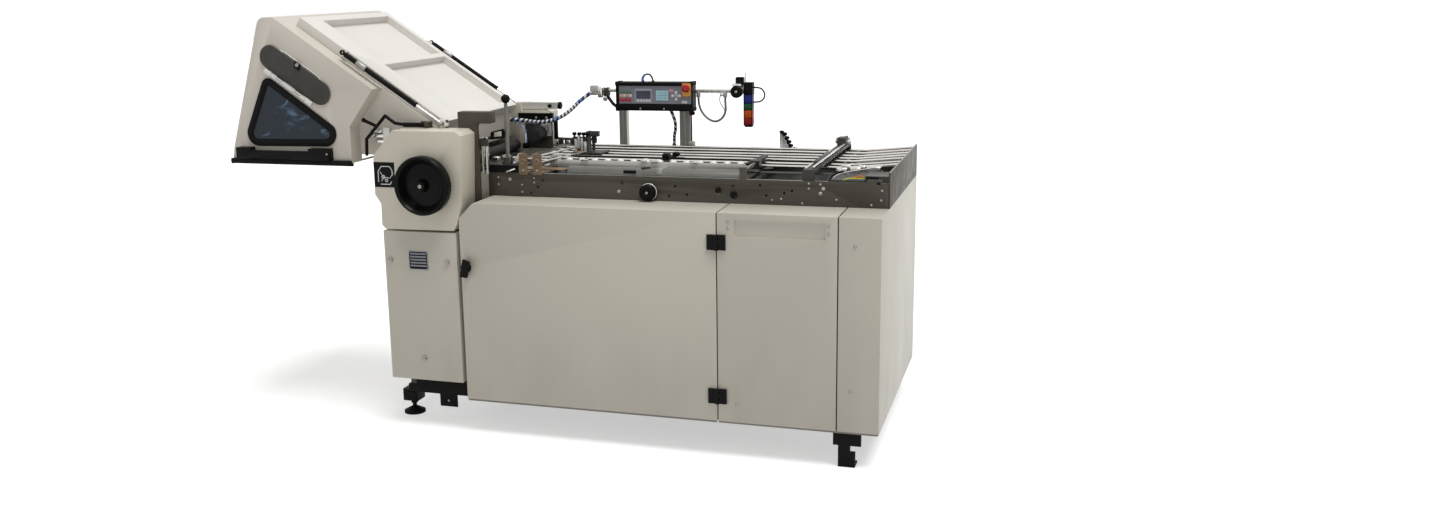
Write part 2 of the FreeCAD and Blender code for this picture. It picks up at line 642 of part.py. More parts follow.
def hinge_pair(low):
    third = HINGE_HEIGHT / 3
    gap = BODY_GAP
    fixed_x = HINGE_X + HINGE_BARREL + 1
    moving_x = HINGE_X - HINGE_BARREL - 1
    fixed = [box(fixed_x, fixed_x + HINGE_LEAF, -6, 0, low, low + HINGE_HEIGHT)]
    fixed += hinge_barrel(low, low + third - gap, fixed_x)
    fixed += hinge_barrel(low + 2 * third + gap, low + HINGE_HEIGHT, fixed_x)
    fixed.append(bar_z(low, low + HINGE_HEIGHT, HINGE_X, -HINGE_OFFSET, HINGE_PIN))
    moving = [box(moving_x - HINGE_LEAF, moving_x, -6, 0, low, low + HINGE_HEIGHT)]
    moving += hinge_barrel(low + third, low + 2 * third, moving_x)
    bore = bar_z(low - 1, low + HINGE_HEIGHT + 1, HINGE_X, -HINGE_OFFSET, HINGE_PIN + RUNNING)
    return fuse(fixed), fuse(moving).cut(bore)


def middle_panel():
    panel = tray_panel(MIDDLE_LEFT, MIDDLE_RIGHT, FLOOR_GAP, PANEL_TOP, LEDGE_DEPTH, NEAR_RETURN)
    x0, x1 = MIDDLE_LEFT + RECESS_MARGINS[0], MIDDLE_RIGHT - RECESS_MARGINS[1]
    z1 = PANEL_TOP - RECESS_DROP
    z0 = z1 - RECESS_HEIGHT
    pan = box(x0, x1, 0, RECESS_DEPTH, z0, z1)
    hollow = box(x0 + SHEET, x1 - SHEET, -1, RECESS_DEPTH - SHEET, z0 + SHEET, z1 - SHEET)
    return fuse([panel, pan]).cut(hollow)


def corner_cover():
    right = CABINET_LENGTH
    z0, z1 = FLOOR_GAP, PANEL_TOP
    face = box(CORNER_LEFT, right, 0, SHEET, z0, z1)
    left = box(CORNER_LEFT, CORNER_LEFT + SHEET, 0, FLANGE, z0, z1)
    end = box(right - SHEET, right, 0, CABINET_DEPTH, z0, z1)
    ledge = box(CORNER_LEFT, right, 0, LEDGE_DEPTH, z1 - SHEET, z1)
    foot = box(CORNER_LEFT, right, 0, NEAR_RETURN, z0, z0 + SHEET)
    back = box(right - REAR_RETURN, right, CABINET_DEPTH - SHEET, CABINET_DEPTH, z0, z1)
    return fuse([face, left, end, ledge, foot, back])


def rear_panel():
    right = CABINET_LENGTH - REAR_RETURN - PANEL_GAP
    sheet = box(BEAM_LEFT, right, CABINET_DEPTH - SHEET, CABINET_DEPTH, FLOOR_GAP, PANEL_TOP)
    flange = box(BEAM_LEFT, right, REAR_FRAME_Y, CABINET_DEPTH, FLOOR_GAP, FLOOR_GAP + SHEET)
    return fuse([sheet, flange])


def lower_cover():
    """Cover wrapped round the fold unit's foot: front, left side and rear."""
    rear = FOLD_OUTER_REAR + FOLD_PLATE_Y
    outer = box(LOWER_LEFT, LOWER_RIGHT, 0, rear, LOWER_BOTTOM, LOWER_TOP)
    inner = box(LOWER_LEFT + SHEET, LOWER_RIGHT + 1, SHEET, rear - SHEET, LOWER_BOTTOM - 1, LOWER_TOP + 1)
    pieces = [outer.cut(inner)]
    for y0, y1 in ((0, FOLD_PLATE_Y), (FOLD_OUTER_REAR, rear)):
        pieces.append(box(LOWER_RIGHT - SHEET, LOWER_RIGHT, y0, y1, LOWER_BOTTOM, LOWER_TOP))
        pieces.append(box(LOWER_LEFT, LOWER_RIGHT, y0, y1, LOWER_TOP - SHEET, LOWER_TOP))
        pieces.append(box(LOWER_LEFT, LOWER_RIGHT, y0, y1, LOWER_BOTTOM, LOWER_BOTTOM + SHEET))
    return fuse(pieces)


def domed_screw(x, y, z, radius):
    head = bar_y(y - 1.5, y, x, z, radius)
    dome = Part.makeSphere(radius * 1.25, V(x, y - 1.5 + radius * 0.75, z))
    return fuse([head, dome.common(bar_y(y - radius, y - 1.5, x, z, radius))])


def quarter_turn(x, z):
    stud = bar_y(-4, 0, x, z, QUARTER_TURN)
    blade = box(x - 8, x + 8, -8, -4, z - 2, z + 2)
    return fuse([stud, blade])


def fasteners():
    screws = [domed_screw(x, 0, z, PANEL_SCREW) for x, z in PANEL_SCREWS]
    screws += [domed_screw(x, 0, z, RECESS_SCREW) for x, z in RECESS_SCREWS]
    screws += [domed_screw(x, LEDGE_DEPTH, FRAME_TOP - drop, FRAME_SCREW) for x, drop in FRAME_SCREWS]
    screws += [domed_screw(x, LEDGE_DEPTH, FRAME_TOP - drop, FRAME_BIG_SCREW)
               for x, drop in FRAME_BIG_SCREWS]
    screws += [quarter_turn(x, z) for x, z in QUARTER_TURNS]
    return Part.makeCompound(screws)


def make_cabinet():
    parts["main_door"] = main_door()
    pairs = [hinge_pair(HINGE_LOW), hinge_pair(HINGE_HIGH)]
    parts["door_hinge_blocks"] = Part.makeCompound([fixed for fixed, moving in pairs])
    parts["door_hinge_leaves"] = Part.makeCompound([moving for fixed, moving in pairs])
    parts["door_latch"] = door_latch()
    parts["middle_panel"] = middle_panel()
    parts["corner_cover"] = corner_cover()
    parts["rear_panel"] = rear_panel()
    parts["lower_cover"] = lower_cover()
    parts["fasteners"] = fasteners()


# ---------------------------------------------------------------------------
# Register table
# ---------------------------------------------------------------------------

def side_frame(y0):
    y1 = y0 + FRAME_THICK
    plate = box(FRAME_LEFT, FRAME_RIGHT, y0, y1, FRAME_BOTTOM, FRAME_TOP)
    for x, z in SHAFTS:
        plate = plate.cut(bar_y(y0 - 1, y1 + 1, x, z, ROLLER_JOURNAL + RUNNING))
    return plate


def side_frame_front():
    plate = side_frame(LEDGE_DEPTH)
    lug = [box(x - 12, x + 12, LEDGE_DEPTH, FRAME_BACK, FRAME_TOP - 1, SLIDE_BAR_Z + 14)
           for x in SLIDE_BAR_X]
    ear_right = FRAME_RIGHT - EAR_INSET
    ear = box(ear_right - EAR_WIDTH, ear_right, LEDGE_DEPTH, FRAME_BACK,
              FRAME_TOP - 1, FRAME_TOP + EAR_HEIGHT)
    bars = [bar_y(FRAME_BACK - 1, SLIDE_BAR_END, x, SLIDE_BAR_Z, SLIDE_BAR_RADIUS)
            for x in SLIDE_BAR_X]
    whole = fuse([plate, ear] + lug + bars)
    for x, drop, radius in FRAME_HOLES + ((ear_right - 2 * EAR_HOLE, 2, EAR_HOLE),):
        whole = whole.cut(bar_y(LEDGE_DEPTH - 1, FRAME_BACK + 1, x, FRAME_TOP - drop, radius))
    return whole.cut(bar_y(LEDGE_DEPTH - 1, FRAME_BACK + 1, KNOB_X, KNOB_Z, SCREW_RADIUS + RUNNING))


def cross_shaft(x, z):
    return bar_y(LEDGE_DEPTH + SHAFT_SETBACK, REAR_FRAME_Y + FRAME_THICK - SHAFT_SETBACK, x, z,
                 ROLLER_JOURNAL)


def table_roller(x):
    barrel = bar_y(FRAME_BACK + ROLLER_END_GAP, REAR_FRAME_Y - ROLLER_END_GAP, x, ROLLER_Z, ROLLER_RADIUS)
    return fuse([barrel, cross_shaft(x, ROLLER_Z)])


def belt_drum(x):
    drum = bar_y(BELT_Y - 2, BELT_Y + BELT_WIDTH + 2, x, DRUM_Z, DRUM_RADIUS)
    return fuse([drum, cross_shaft(x, DRUM_Z)])


def register_belt():
    def loop(radius):
        y0, y1 = BELT_Y, BELT_Y + BELT_WIDTH
        return fuse([box(DRUM_LEFT_X, DRUM_RIGHT_X, y0, y1, DRUM_Z - radius, DRUM_Z + radius),
                     bar_y(y0, y1, DRUM_LEFT_X, DRUM_Z, radius),
                     bar_y(y0, y1, DRUM_RIGHT_X, DRUM_Z, radius)])
    return loop(BELT_OUTER).cut(loop(BELT_INNER))


def cross_beam():
    rear = REAR_FRAME_Y + FRAME_THICK
    pin_x = LEVER_PIN_X
    pieces = [box(BEAM_LEFT, BEAM_RIGHT, LEDGE_DEPTH, rear, BEAM_BOTTOM, BEAM_TOP)]
    for y in (LEDGE_DEPTH, REAR_FRAME_Y):
        pieces.append(box(BEAM_LEFT, BEAM_RIGHT, y, y + FRAME_THICK, FRAME_TOP, BEAM_BOTTOM + 1))
    for y in (THROW_LEVER_Y - 18, THROW_LEVER_Y + 10):
        pieces.append(box(pin_x - 12, pin_x + 12, y, y + 8, BEAM_TOP - 1, THROW_LEVER_Z + 14))
    pieces.append(bar_y(THROW_LEVER_Y - 18, THROW_LEVER_Y + 18, pin_x, THROW_LEVER_Z, LEVER_PIN))
    return fuse(pieces)


def table_rod(y):
    straight = bar_x(BEAM_RIGHT, ROD_BEND_X, y, ROD_Z, ROD_RADIUS)
    run = FRAME_RIGHT - ROD_BEND_X
    direction = V(run, 0, ROD_RISE)
    rising = Part.makeCylinder(ROD_RADIUS, direction.Length + 10, V(ROD_BEND_X, y, ROD_Z), direction)
    knee = Part.makeSphere(ROD_RADIUS, V(ROD_BEND_X, y, ROD_Z))
    beyond = box(FRAME_RIGHT, FRAME_RIGHT + 40, y - 20, y + 20, ROD_Z - 20, ROD_Z + ROD_RISE + 40)
    return fuse([straight, knee, rising.cut(beyond)])


def ball_ruler():
    middle = BELT_MIDDLE
    y0, y1 = middle - RULER_WIDTH / 2, middle + RULER_WIDTH / 2
    bar = box(RULER_LEFT, RULER_RIGHT, y0, y1, RULER_BOTTOM, RULER_TOP)
    fence = box(RULER_LEFT, RULER_RIGHT, y0 - 5, y0, RULER_BOTTOM, RULER_TOP + 14)
    pieces = [bar, fence]
    for x in SLIDE_BAR_X:
        pieces.append(box(x - 16, x + 16, y0 - 8, y1 + 8, RULER_TOP - 1, SLIDE_BAR_Z + 12))
    pieces.append(box(KNOB_X - 10, KNOB_X + 10, NUT_Y, y0, RULER_BOTTOM, RULER_TOP))
    pieces.append(box(KNOB_X - 10, KNOB_X + 10, NUT_Y, NUT_Y + NUT_LENGTH, KNOB_Z - 14, RULER_TOP))
    whole = fuse(pieces)
    for x in SLIDE_BAR_X:
        whole = whole.cut(bar_y(y0 - 20, y1 + 20, x, SLIDE_BAR_Z, SLIDE_BAR_RADIUS + RUNNING))
    whole = whole.cut(bar_y(NUT_Y - 1, NUT_Y + NUT_LENGTH + 1, KNOB_X, KNOB_Z, SCREW_RADIUS + RUNNING))
    for x in ball_places():
        whole = whole.cut(bar_z(RULER_BOTTOM - 1, RULER_TOP + 1, x, middle, BALL_RADIUS + BODY_GAP))
    return whole


def ball_places():
    first = (RULER_LEFT + RULER_RIGHT) / 2 - BALL_PITCH * (BALL_COUNT - 1) / 2
    return [first + BALL_PITCH * k for k in range(BALL_COUNT)]


def lay_knob():
    back = LEDGE_DEPTH - 4
    grip = bar_y(back - KNOB_LENGTH, back, KNOB_X, KNOB_Z, KNOB_RADIUS)
    grip = grip.makeFillet(3, [e for e in grip.Edges if abs(e.BoundBox.YMin - grip.BoundBox.YMin) < 0.1
                               and e.BoundBox.YLength < 0.1])
    screw = bar_y(back, BELT_Y - 5, KNOB_X, KNOB_Z, SCREW_RADIUS)
    return fuse([grip, screw])


def clear_guard():
    top = FRAME_TOP + GUARD_THICK
    flat = box(GUARD_LEFT, GUARD_LEFT + GUARD_LENGTH, LEDGE_DEPTH, 255, FRAME_TOP, top)
    lip = box(GUARD_LEFT, GUARD_LEFT + GUARD_LENGTH, 251, 255, FRAME_TOP, top + 12)
    return fuse([flat, lip])


def cross_carriage():
    x0, x1 = CROSS_LEFT, CROSS_LEFT + CROSS_WIDTH
    y0, y1 = LEDGE_DEPTH + 1, REAR_FRAME_Y + FRAME_THICK - 1
    low = ROD_Z + ROD_RADIUS + CARRIAGE_CLEAR
    top = low + CARRIAGE_BAR
    bar = box(x0, x1, y0, y1, low, top)
    feet = [box(x0, x1, y, y + FRAME_THICK - 2, FRAME_TOP + BODY_GAP, low)
            for y in (y0, y1 - FRAME_THICK + 2)]
    head = box(x0 + 4, x1 - 4, *CARRIAGE_HEAD_Y, top, top + CARRIAGE_HEAD_TALL)
    arm = box(x0 + 12, x1 - 12, *CARRIAGE_ARM_Y, top, top + CARRIAGE_BAR)
    return fuse([bar, head, arm] + feet)


def sensor_carriage():
    x0, x1 = SENSOR_LEFT, SENSOR_LEFT + SENSOR_LENGTH
    y0, y1 = ROD_Y[2] - 14, ROD_Y[3] + 14
    low = ROD_Z + ROD_RADIUS + BODY_GAP
    top = low + SENSOR_HEIGHT
    head_low = top - SENSOR_HEAD_TALL
    base = box(x0, x1, y0, y1, low, low + SENSOR_BASE)
    wall = box(x0 + SENSOR_WALL[0], x0 + SENSOR_WALL[1], y0 + 30, y1 - 30, low + SENSOR_BASE, top)
    head = box(x0 + SENSOR_HEAD[0], x0 + SENSOR_HEAD[1], y0 + 38, y1 - 38, head_low, top)
    eye_x = x0 + (SENSOR_HEAD[0] + SENSOR_HEAD[1]) / 2
    eye = bar_z(head_low - 26, head_low, eye_x, (y0 + y1) / 2, SENSOR_EYE)
    return fuse([base, wall, head, eye])


def make_table():
    parts["side_frame_front"] = side_frame_front()
    gland = bar_z(FRAME_TOP - 1, FRAME_TOP + REAR_GLAND_LENGTH, REAR_GLAND_X, REAR_FRAME_Y + REAR_GLAND_IN,
                  GLAND_RADIUS)
    parts["side_frame_rear"] = fuse([side_frame(REAR_FRAME_Y), gland])
    parts["end_plate"] = box(FRAME_RIGHT, CABINET_LENGTH, LEDGE_DEPTH, REAR_FRAME_Y + FRAME_THICK,
                             PANEL_TOP, END_PLATE_TOP)
    parts["cross_beam"] = cross_beam()
    parts["table_rods"] = Part.makeCompound([table_rod(y) for y in ROD_Y])
    for number, x in enumerate(ROLLER_X, 1):
        parts["table_roller_%d" % number] = table_roller(x)
    parts["belt_drum_left"] = belt_drum(DRUM_LEFT_X)
    parts["belt_drum_right"] = belt_drum(DRUM_RIGHT_X)
    parts["register_belt"] = register_belt()
    parts["ball_ruler"] = ball_ruler()
    parts["ruler_balls"] = Part.makeCompound([Part.makeSphere(BALL_RADIUS, V(x, BELT_MIDDLE, BALL_Z))
                                              for x in ball_places()])
    parts["lay_knob"] = lay_knob()
    parts["clear_guard"] = clear_guard()
    parts["cross_carriage"] = cross_carriage()
    parts["sensor_carriage"] = sensor_carriage()


# ---------------------------------------------------------------------------
# Fold unit
# ---------------------------------------------------------------------------

def fold_plate():
    """Plate that carries the rollers, as it stands on the front side."""
    left, right = FOLD_LEFT, FOLD_RIGHT
    outline = [(left, FLOOR_GAP), (right, FLOOR_GAP), (right, FOLD_PLATE_TOP),
               (left + 50, FOLD_PLATE_TOP), (left, 1030)]
    y0, y1 = FOLD_PLATE_Y, FOLD_INNER_FRONT
    plate = prism_y(outline, y0, y1)
    for x, z in FOLD_SHAFTS:
        plate = plate.cut(bar_y(y0 - 1, y1 + 1, x, z, FOLD_JOURNAL + RUNNING))
    x, z = on_slope(SPRING_FRAME_S, SPRING_OFFSET)
    lug = box(x - 16, x + 16, y0, y1, 1089, z + 12)
    stud = bar_y(SPRING_Y - 6, y0 + 1, x, z, SPRING_STUD)
    seats = [bar_y(y1, NARROW_NEAR, seat_x, 1060, 14) for seat_x in (FOLD_LEFT + 80, HOOD_RIGHT - 30)]
    return fuse([plate, lug, stud] + seats)


def column_head():
    low = FOLD_PLATE_TOP - 5
    outline = [(HEAD_LEFT, low), (FOLD_RIGHT, low), (FOLD_RIGHT, COLUMN_TOP),
               (FOLD_RIGHT + 8, HEAD_BOTTOM), (HEAD_RIGHT, HEAD_BOTTOM), (HEAD_RIGHT, HEAD_TOP),
               (HEAD_LEFT, HEAD_TOP)]
    neck = prism_y(outline, FOLD_PLATE_Y, FOLD_INNER_FRONT)
    head = box(HEAD_LEFT, HEAD_RIGHT, FOLD_PLATE_Y, FOLD_PLATE_Y + HEAD_DEPTH, HEAD_BOTTOM, HEAD_TOP)
    return fuse([neck, head])


def bent_lever_lug():
    """Lug on the front fold plate with the pin that the bent lever turns on."""
    lug = box(BENT_PIVOT_X, BENT_PIVOT_X + 10, BENT_Y - 10, FOLD_PLATE_Y + 4, BENT_Z - 9, BENT_Z + 10)
    root = box(BENT_PIVOT_X - 30, BENT_PIVOT_X + 10, FOLD_PLATE_Y, FOLD_INNER_FRONT, 1070, BENT_Z + 10)
    pin = bar_x(BENT_PIVOT_X - BENT_PIN_LENGTH, BENT_PIVOT_X + 8, BENT_Y, BENT_Z, LEVER_PIN)
    return fuse([lug, root, pin])


def fold_roller(x, z, front):
    barrel = bar_y(FOLD_INNER_FRONT + 2, FOLD_INNER_REAR - 2, x, z, FOLD_ROLLER_RADIUS)
    shaft = bar_y(front, FOLD_OUTER_REAR + 6, x, z, FOLD_JOURNAL)
    return fuse([barrel, shaft])


def casing_shell():
    outer = prism_y(CASING_OUTLINE, 0, FOLD_PLATE_Y)
    return outer.cut(prism_y(inset(CASING_OUTLINE, CASING_WALL), CASING_WALL, FOLD_PLATE_Y + 1))


def wheel_casing():
    return casing_shell().cut(bar_y(-1, CASING_WALL + 1, WHEEL_X, WHEEL_Z, FOLD_JOURNAL + 3))


def rear_casing():
    return mirrored(casing_shell(), FOLD_MIDDLE_Y)


def hand_wheel():
    radius, front, back = WHEEL_RADIUS, -WHEEL_FRONT, -WHEEL_BACK
    profile = [(0, front + 20), (14, front + 20), (18, front + 24), (radius - 30, front + 32),
               (radius - 16, front + 7), (radius - 10, front), (radius - 4, front + 1),
               (radius, front + 8), (radius, front + 34), (radius - 7, front + 43),
               (radius - 18, front + 46), (radius - 28, front + 41), (WHEEL_HUB, front + 36),
               (WHEEL_HUB, back), (0, back)]
    return turned_y(profile, WHEEL_X, WHEEL_Z)


def buckle_box(s0, s1, off0, off1, y0, y1):
    """Box in the buckle plate's frame: s runs up the slope from the rollers."""
    x0, z0 = WHEEL_X + BUCKLE_FROM_WHEEL[0], WHEEL_Z + BUCKLE_FROM_WHEEL[1]
    corners = []
    for s, off in ((s0, off0), (s1, off0), (s1, off1), (s0, off1)):
        corners.append((x0 - s * DOWN_X - off * DOWN_Z, z0 - s * DOWN_Z + off * DOWN_X))
    return prism_y(corners, y0, y1)


def buckle_plates():
    y0, y1 = NARROW_NEAR + HOOD_WALL, NARROW_FAR - HOOD_WALL
    half = BUCKLE_GAP / 2
    block = buckle_box(0, BUCKLE_LENGTH, -half - BUCKLE_SHEET, half + BUCKLE_SHEET, y0, y1)
    slot = buckle_box(-5, BUCKLE_LENGTH + 5, -half, half, y0 + 10, y1 - 10)
    return block.cut(slot)


def plate_stop():
    y0, y1 = NARROW_NEAR + HOOD_WALL + 10 + BODY_GAP, NARROW_FAR - HOOD_WALL - 10 - BODY_GAP
    return buckle_box(*STOP_PLACE, -STOP_THICK / 2, STOP_THICK / 2, y0, y1)


def throw_lever():
    pin_x = LEVER_PIN_X
    y = THROW_LEVER_Y
    eye = bar_y(y - 10 + BODY_GAP, y + 10 - BODY_GAP, pin_x, THROW_LEVER_Z, 11)
    rod = bar_z(THROW_LEVER_Z, THROW_LEVER_TOP, pin_x, y, 6.5)
    ball = Part.makeSphere(THROW_BALL, V(pin_x, y, THROW_LEVER_TOP + 12))
    bore = bar_y(y - 20, y + 20, pin_x, THROW_LEVER_Z, LEVER_PIN + RUNNING)
    return fuse([eye, rod, ball]).cut(bore)


def drive_motor():
    x, z, radius = MOTOR_X, MOTOR_Z, MOTOR_RADIUS
    rear = FOLD_INNER_REAR
    body = bar_y(rear - MOTOR_LENGTH, rear, x, z, radius - 5)
    starts = [rear - MOTOR_LENGTH + MOTOR_FIN + MOTOR_FIN_PITCH * k for k in range(8)]
    fins = [bar_y(start, start + MOTOR_FIN, x, z, radius) for start in starts]
    box_on_top = box(x - 14, x + 14, rear - 60, rear - 24, z + radius - 12, z + radius + 4)
    return fuse([body, box_on_top] + fins)


def bent_lever():
    """Sleeve on its pin, with a cranked arm that hangs to the left."""
    sleeve_left = BENT_PIVOT_X - BENT_PIN_LENGTH - 8
    path = [V(sleeve_left + 4, BENT_Y, BENT_Z)] + [V(x, BENT_Y, z) for x, z in BENT_PATH]
    pieces = [bar_x(sleeve_left, BENT_PIVOT_X - BODY_GAP, BENT_Y, BENT_Z, BENT_RADIUS + 2)]
    for start, end in zip(path, path[1:]):
        step = end.sub(start)
        pieces.append(Part.makeCylinder(BENT_RADIUS, step.Length, start, step))
        pieces.append(Part.makeSphere(BENT_RADIUS, end))
    bore = bar_x(BENT_PIVOT_X - BENT_PIN_LENGTH - BODY_GAP, BENT_PIVOT_X, BENT_Y, BENT_Z,
                 LEVER_PIN + RUNNING)
    return fuse(pieces).cut(bore)


def make_fold_unit():
    rear_plane = FOLD_MIDDLE_Y
    plain = fold_plate()
    parts["fold_plate_rear"] = mirrored(plain, rear_plane)
    parts["fold_plate_front"] = fuse([plain, column_head(), bent_lever_lug()])
    parts["wheel_casing"] = wheel_casing()
    parts["rear_casing"] = rear_casing()
    parts["hand_wheel"] = hand_wheel()
    for number, (x, z) in enumerate(FOLD_SHAFTS, 1):
        front = -WHEEL_BACK if number == 1 else FOLD_PLATE_Y - 6
        parts["fold_roller_%d" % number] = fold_roller(x, z, front)
    parts["buckle_plates"] = buckle_plates()
    parts["plate_stop"] = plate_stop()
    parts["bent_lever"] = bent_lever()
    parts["throw_lever"] = throw_lever()
    parts["drive_motor"] = drive_motor()


# ---------------------------------------------------------------------------
# Hood, lid, window, flap and gas springs
# ---------------------------------------------------------------------------

def wide_outline(bottom):
    return [(HOOD_LEFT, bottom), (HOOD_LEFT + SKIRT_STEP, SKIRT_TOP), (RIDGE_LEFT, SLOPE_Z),
            (SLOPE_X, SLOPE_Z), on_slope(STEP_S, 0.0), STEP_LOW, (STEP_LOW[0], bottom)]


def narrow_outline(bottom):
    upper, lower = on_slope(NARROW_START_S, 0.0), on_slope(NARROW_END_S, 0.0)
    return [(upper[0], bottom), upper, lower, (lower[0], bottom)]


def round_ridge(solid, radius):
    """Rounds the edge along Y that lies nearest to the left end of the hood's top."""
    along = [edge for edge in solid.Edges
             if edge.BoundBox.XLength < SHEET / 2 and edge.BoundBox.ZLength < SHEET / 2]
    ridge = min(along, key=lambda edge: math.hypot(edge.BoundBox.XMin - RIDGE_LEFT,
                                                   edge.BoundBox.ZMin - SLOPE_Z))
    return solid.makeFillet(radius, [ridge])


def hood_shell():
    wide = round_ridge(prism_y(wide_outline(HOOD_BOTTOM), HOOD_NEAR, HOOD_FAR), RIDGE_RADIUS)
    narrow = prism_y(narrow_outline(HOOD_NARROW_BOTTOM), NARROW_NEAR, NARROW_FAR)
    wide_inside = prism_y(inset(wide_outline(HOOD_BOTTOM - 20), HOOD_WALL),
                          HOOD_NEAR + HOOD_WALL, HOOD_FAR - HOOD_WALL)
    narrow_inside = prism_y(inset(narrow_outline(HOOD_NARROW_BOTTOM - 20), HOOD_WALL),
                            NARROW_NEAR + HOOD_WALL, NARROW_FAR - HOOD_WALL)
    hollow = fuse([round_ridge(wide_inside, RIDGE_RADIUS - HOOD_WALL), narrow_inside])
    shell = fuse([wide, narrow]).cut(hollow)
    mouth = slope_box(LID_START + MOUTH_MARGINS[0], LID_START + LID_LENGTH - MOUTH_MARGINS[1],
                      -HOOD_WALL - 2, 5, NARROW_NEAR + MOUTH_INSET, NARROW_FAR - MOUTH_INSET)
    window = window_prism(HOOD_NEAR - 1, HOOD_NEAR + HOOD_WALL + 1)
    port = slope_stadium(FLAP_START, FLAP_START + FLAP_LENGTH, FLAP_OFF, FLAP_RADIUS - FLAP_LAP,
                         HOOD_NEAR - 1, HOOD_NEAR + HOOD_WALL + 1)
    shell = shell.cut(mouth).cut(window).cut(port)
    return fuse([shell] + lid_hinge_blocks())


def lid_hinge_blocks():
    blocks = []
    s0, s1 = LID_HINGE_S - LID_HINGE_RADIUS, LID_HINGE_S + LID_HINGE_RADIUS
    for y in LID_EAR_Y:
        for start in (y - HINGE_BLOCK - BODY_GAP, y + LID_EAR + BODY_GAP):
            end = start + HINGE_BLOCK
            blocks.append(slope_box(s0, s1, -1, LID_HINGE_OFF, start, end))
            blocks.append(slope_pin(LID_HINGE_S, LID_HINGE_OFF, start, end, LID_HINGE_RADIUS))
        blocks.append(slope_pin(LID_HINGE_S, LID_HINGE_OFF, y - HINGE_BLOCK, y + LID_EAR + HINGE_BLOCK,
                                LID_HINGE_PIN))
    return blocks


def hood_lid():
    s0, s1 = LID_START, LID_START + LID_LENGTH
    y0, y1 = NARROW_NEAR + LID_SIDE_GAP, NARROW_FAR - LID_SIDE_GAP
    low, high = LID_GAP, LID_GAP + LID_THICK
    skin = slope_box(s0, s1, low, high, y0, y1)
    lid = skin.cut(slope_box(s0 + SHEET, s1 - SHEET, low - 1, high - SHEET, y0 + SHEET, y1 - SHEET))
    floor = high - LID_PAN_DEPTH
    near, far = y0 + LID_PAN_MARGINS[0], y1 - LID_PAN_MARGINS[1]
    for first, last in LID_PANS:
        start, end = s0 + first, s0 + last
        pan = slope_box(start - SHEET, end + SHEET, floor - SHEET, high, near - SHEET, far + SHEET)
        lid = lid.fuse(pan).cut(slope_box(start, end, floor, high + 1, near, far))
    ears = []
    for y in LID_EAR_Y:
        ears.append(slope_box(LID_HINGE_S, s0 + 1, 3, 13, y, y + LID_EAR))
        ears.append(slope_pin(LID_HINGE_S, LID_HINGE_OFF, y, y + LID_EAR, LID_HINGE_RADIUS))
    lug = slope_box(SPRING_LID_S - 10, SPRING_LID_S + 10, 5, SPRING_OFFSET + 8, y0 - 4, y0 + SHEET)
    stud = slope_pin(SPRING_LID_S, SPRING_OFFSET, SPRING_Y + SPRING_TUBE + 1.5, y0, SPRING_STUD)
    near = fuse([lug, stud])
    whole = fuse([lid, near, mirrored(near, FOLD_MIDDLE_Y)] + ears)
    for y in LID_EAR_Y:
        whole = whole.cut(slope_pin(LID_HINGE_S, LID_HINGE_OFF, y - 1, y + LID_EAR + 1,
                                    LID_HINGE_PIN + RUNNING))
    return whole


def window_pane():
    """Clear sheet with a rubber rim that laps over the opening's edge."""
    pane = window_prism(HOOD_NEAR - WINDOW_SHEET, HOOD_NEAR + HOOD_WALL, -0.5)
    rim = window_prism(HOOD_NEAR - WINDOW_RIM, HOOD_NEAR, WINDOW_LAP)
    hollow = window_prism(HOOD_NEAR - WINDOW_RIM - 1, HOOD_NEAR - WINDOW_SHEET, -WINDOW_LAP)
    return fuse([rim.cut(hollow), pane])


def flap_hinge_rod():
    s0, s1 = FLAP_START, FLAP_START + FLAP_LENGTH
    rod = slope_bar(s0 + 10, s1 - 10, FLAP_HINGE_OFF, FLAP_HINGE_Y, FLAP_ROD)
    blocks = [slope_box(s, s + 24, FLAP_HINGE_OFF - 8, FLAP_HINGE_OFF + 4, FLAP_HINGE_Y - 5, HOOD_NEAR)
              for s in (s0 + 10, s1 - 34)]
    return fuse([rod] + blocks)


def side_flap():
    s0, s1 = FLAP_START, FLAP_START + FLAP_LENGTH
    y1 = HOOD_NEAR - 0.5
    y0 = y1 - FLAP_THICK
    plate = slope_stadium(s0, s1, FLAP_OFF, FLAP_RADIUS, y0, y1)
    pieces = [plate]
    bores = []
    for s in (s0 + FLAP_KNUCKLES[0], s0 + FLAP_KNUCKLES[1]):
        end = s + FLAP_KNUCKLE_LENGTH
        pieces.append(slope_bar(s, end, FLAP_HINGE_OFF, FLAP_HINGE_Y, FLAP_KNUCKLE))
        pieces.append(slope_box(s, end, FLAP_HINGE_OFF, FLAP_OFF - FLAP_RADIUS + 4, y0, y0 + 2.5))
        bores.append(slope_bar(s - 1, end + 1, FLAP_HINGE_OFF, FLAP_HINGE_Y, FLAP_ROD + RUNNING))
    whole = fuse(pieces)
    for bore in bores:
        whole = whole.cut(bore)
    return whole


def hood_grip():
    left, right = HOOD_LEFT + GRIP_LEFT_GAP, GRIP_RIGHT
    low = HOOD_BOTTOM + GRIP_LIFT
    high = low + GRIP_HEIGHT
    near = HOOD_NEAR - GRIP_REACH
    ends = [box(left, left + GRIP_ENDS[0], near, HOOD_NEAR, low, high),
            box(right - GRIP_ENDS[1], right, near, HOOD_NEAR, low, high)]
    middle = box(left, right, near, near + GRIP_BAR, low + 2, high - 10)
    return fuse(ends + [middle])


def spring_rods():
    eye = slope_pin(SPRING_FRAME_S, SPRING_OFFSET, SPRING_Y - 5, SPRING_Y + 5, SPRING_EYE)
    rod = slope_bar(SPRING_ROD_S, SPRING_FRAME_S, SPRING_OFFSET, SPRING_Y, SPRING_ROD)
    bore = slope_pin(SPRING_FRAME_S, SPRING_OFFSET, SPRING_Y - 9, SPRING_Y + 6.9, SPRING_STUD + RUNNING)
    near = fuse([eye, rod]).cut(bore)
    return Part.makeCompound([near, mirrored(near, FOLD_MIDDLE_Y)])


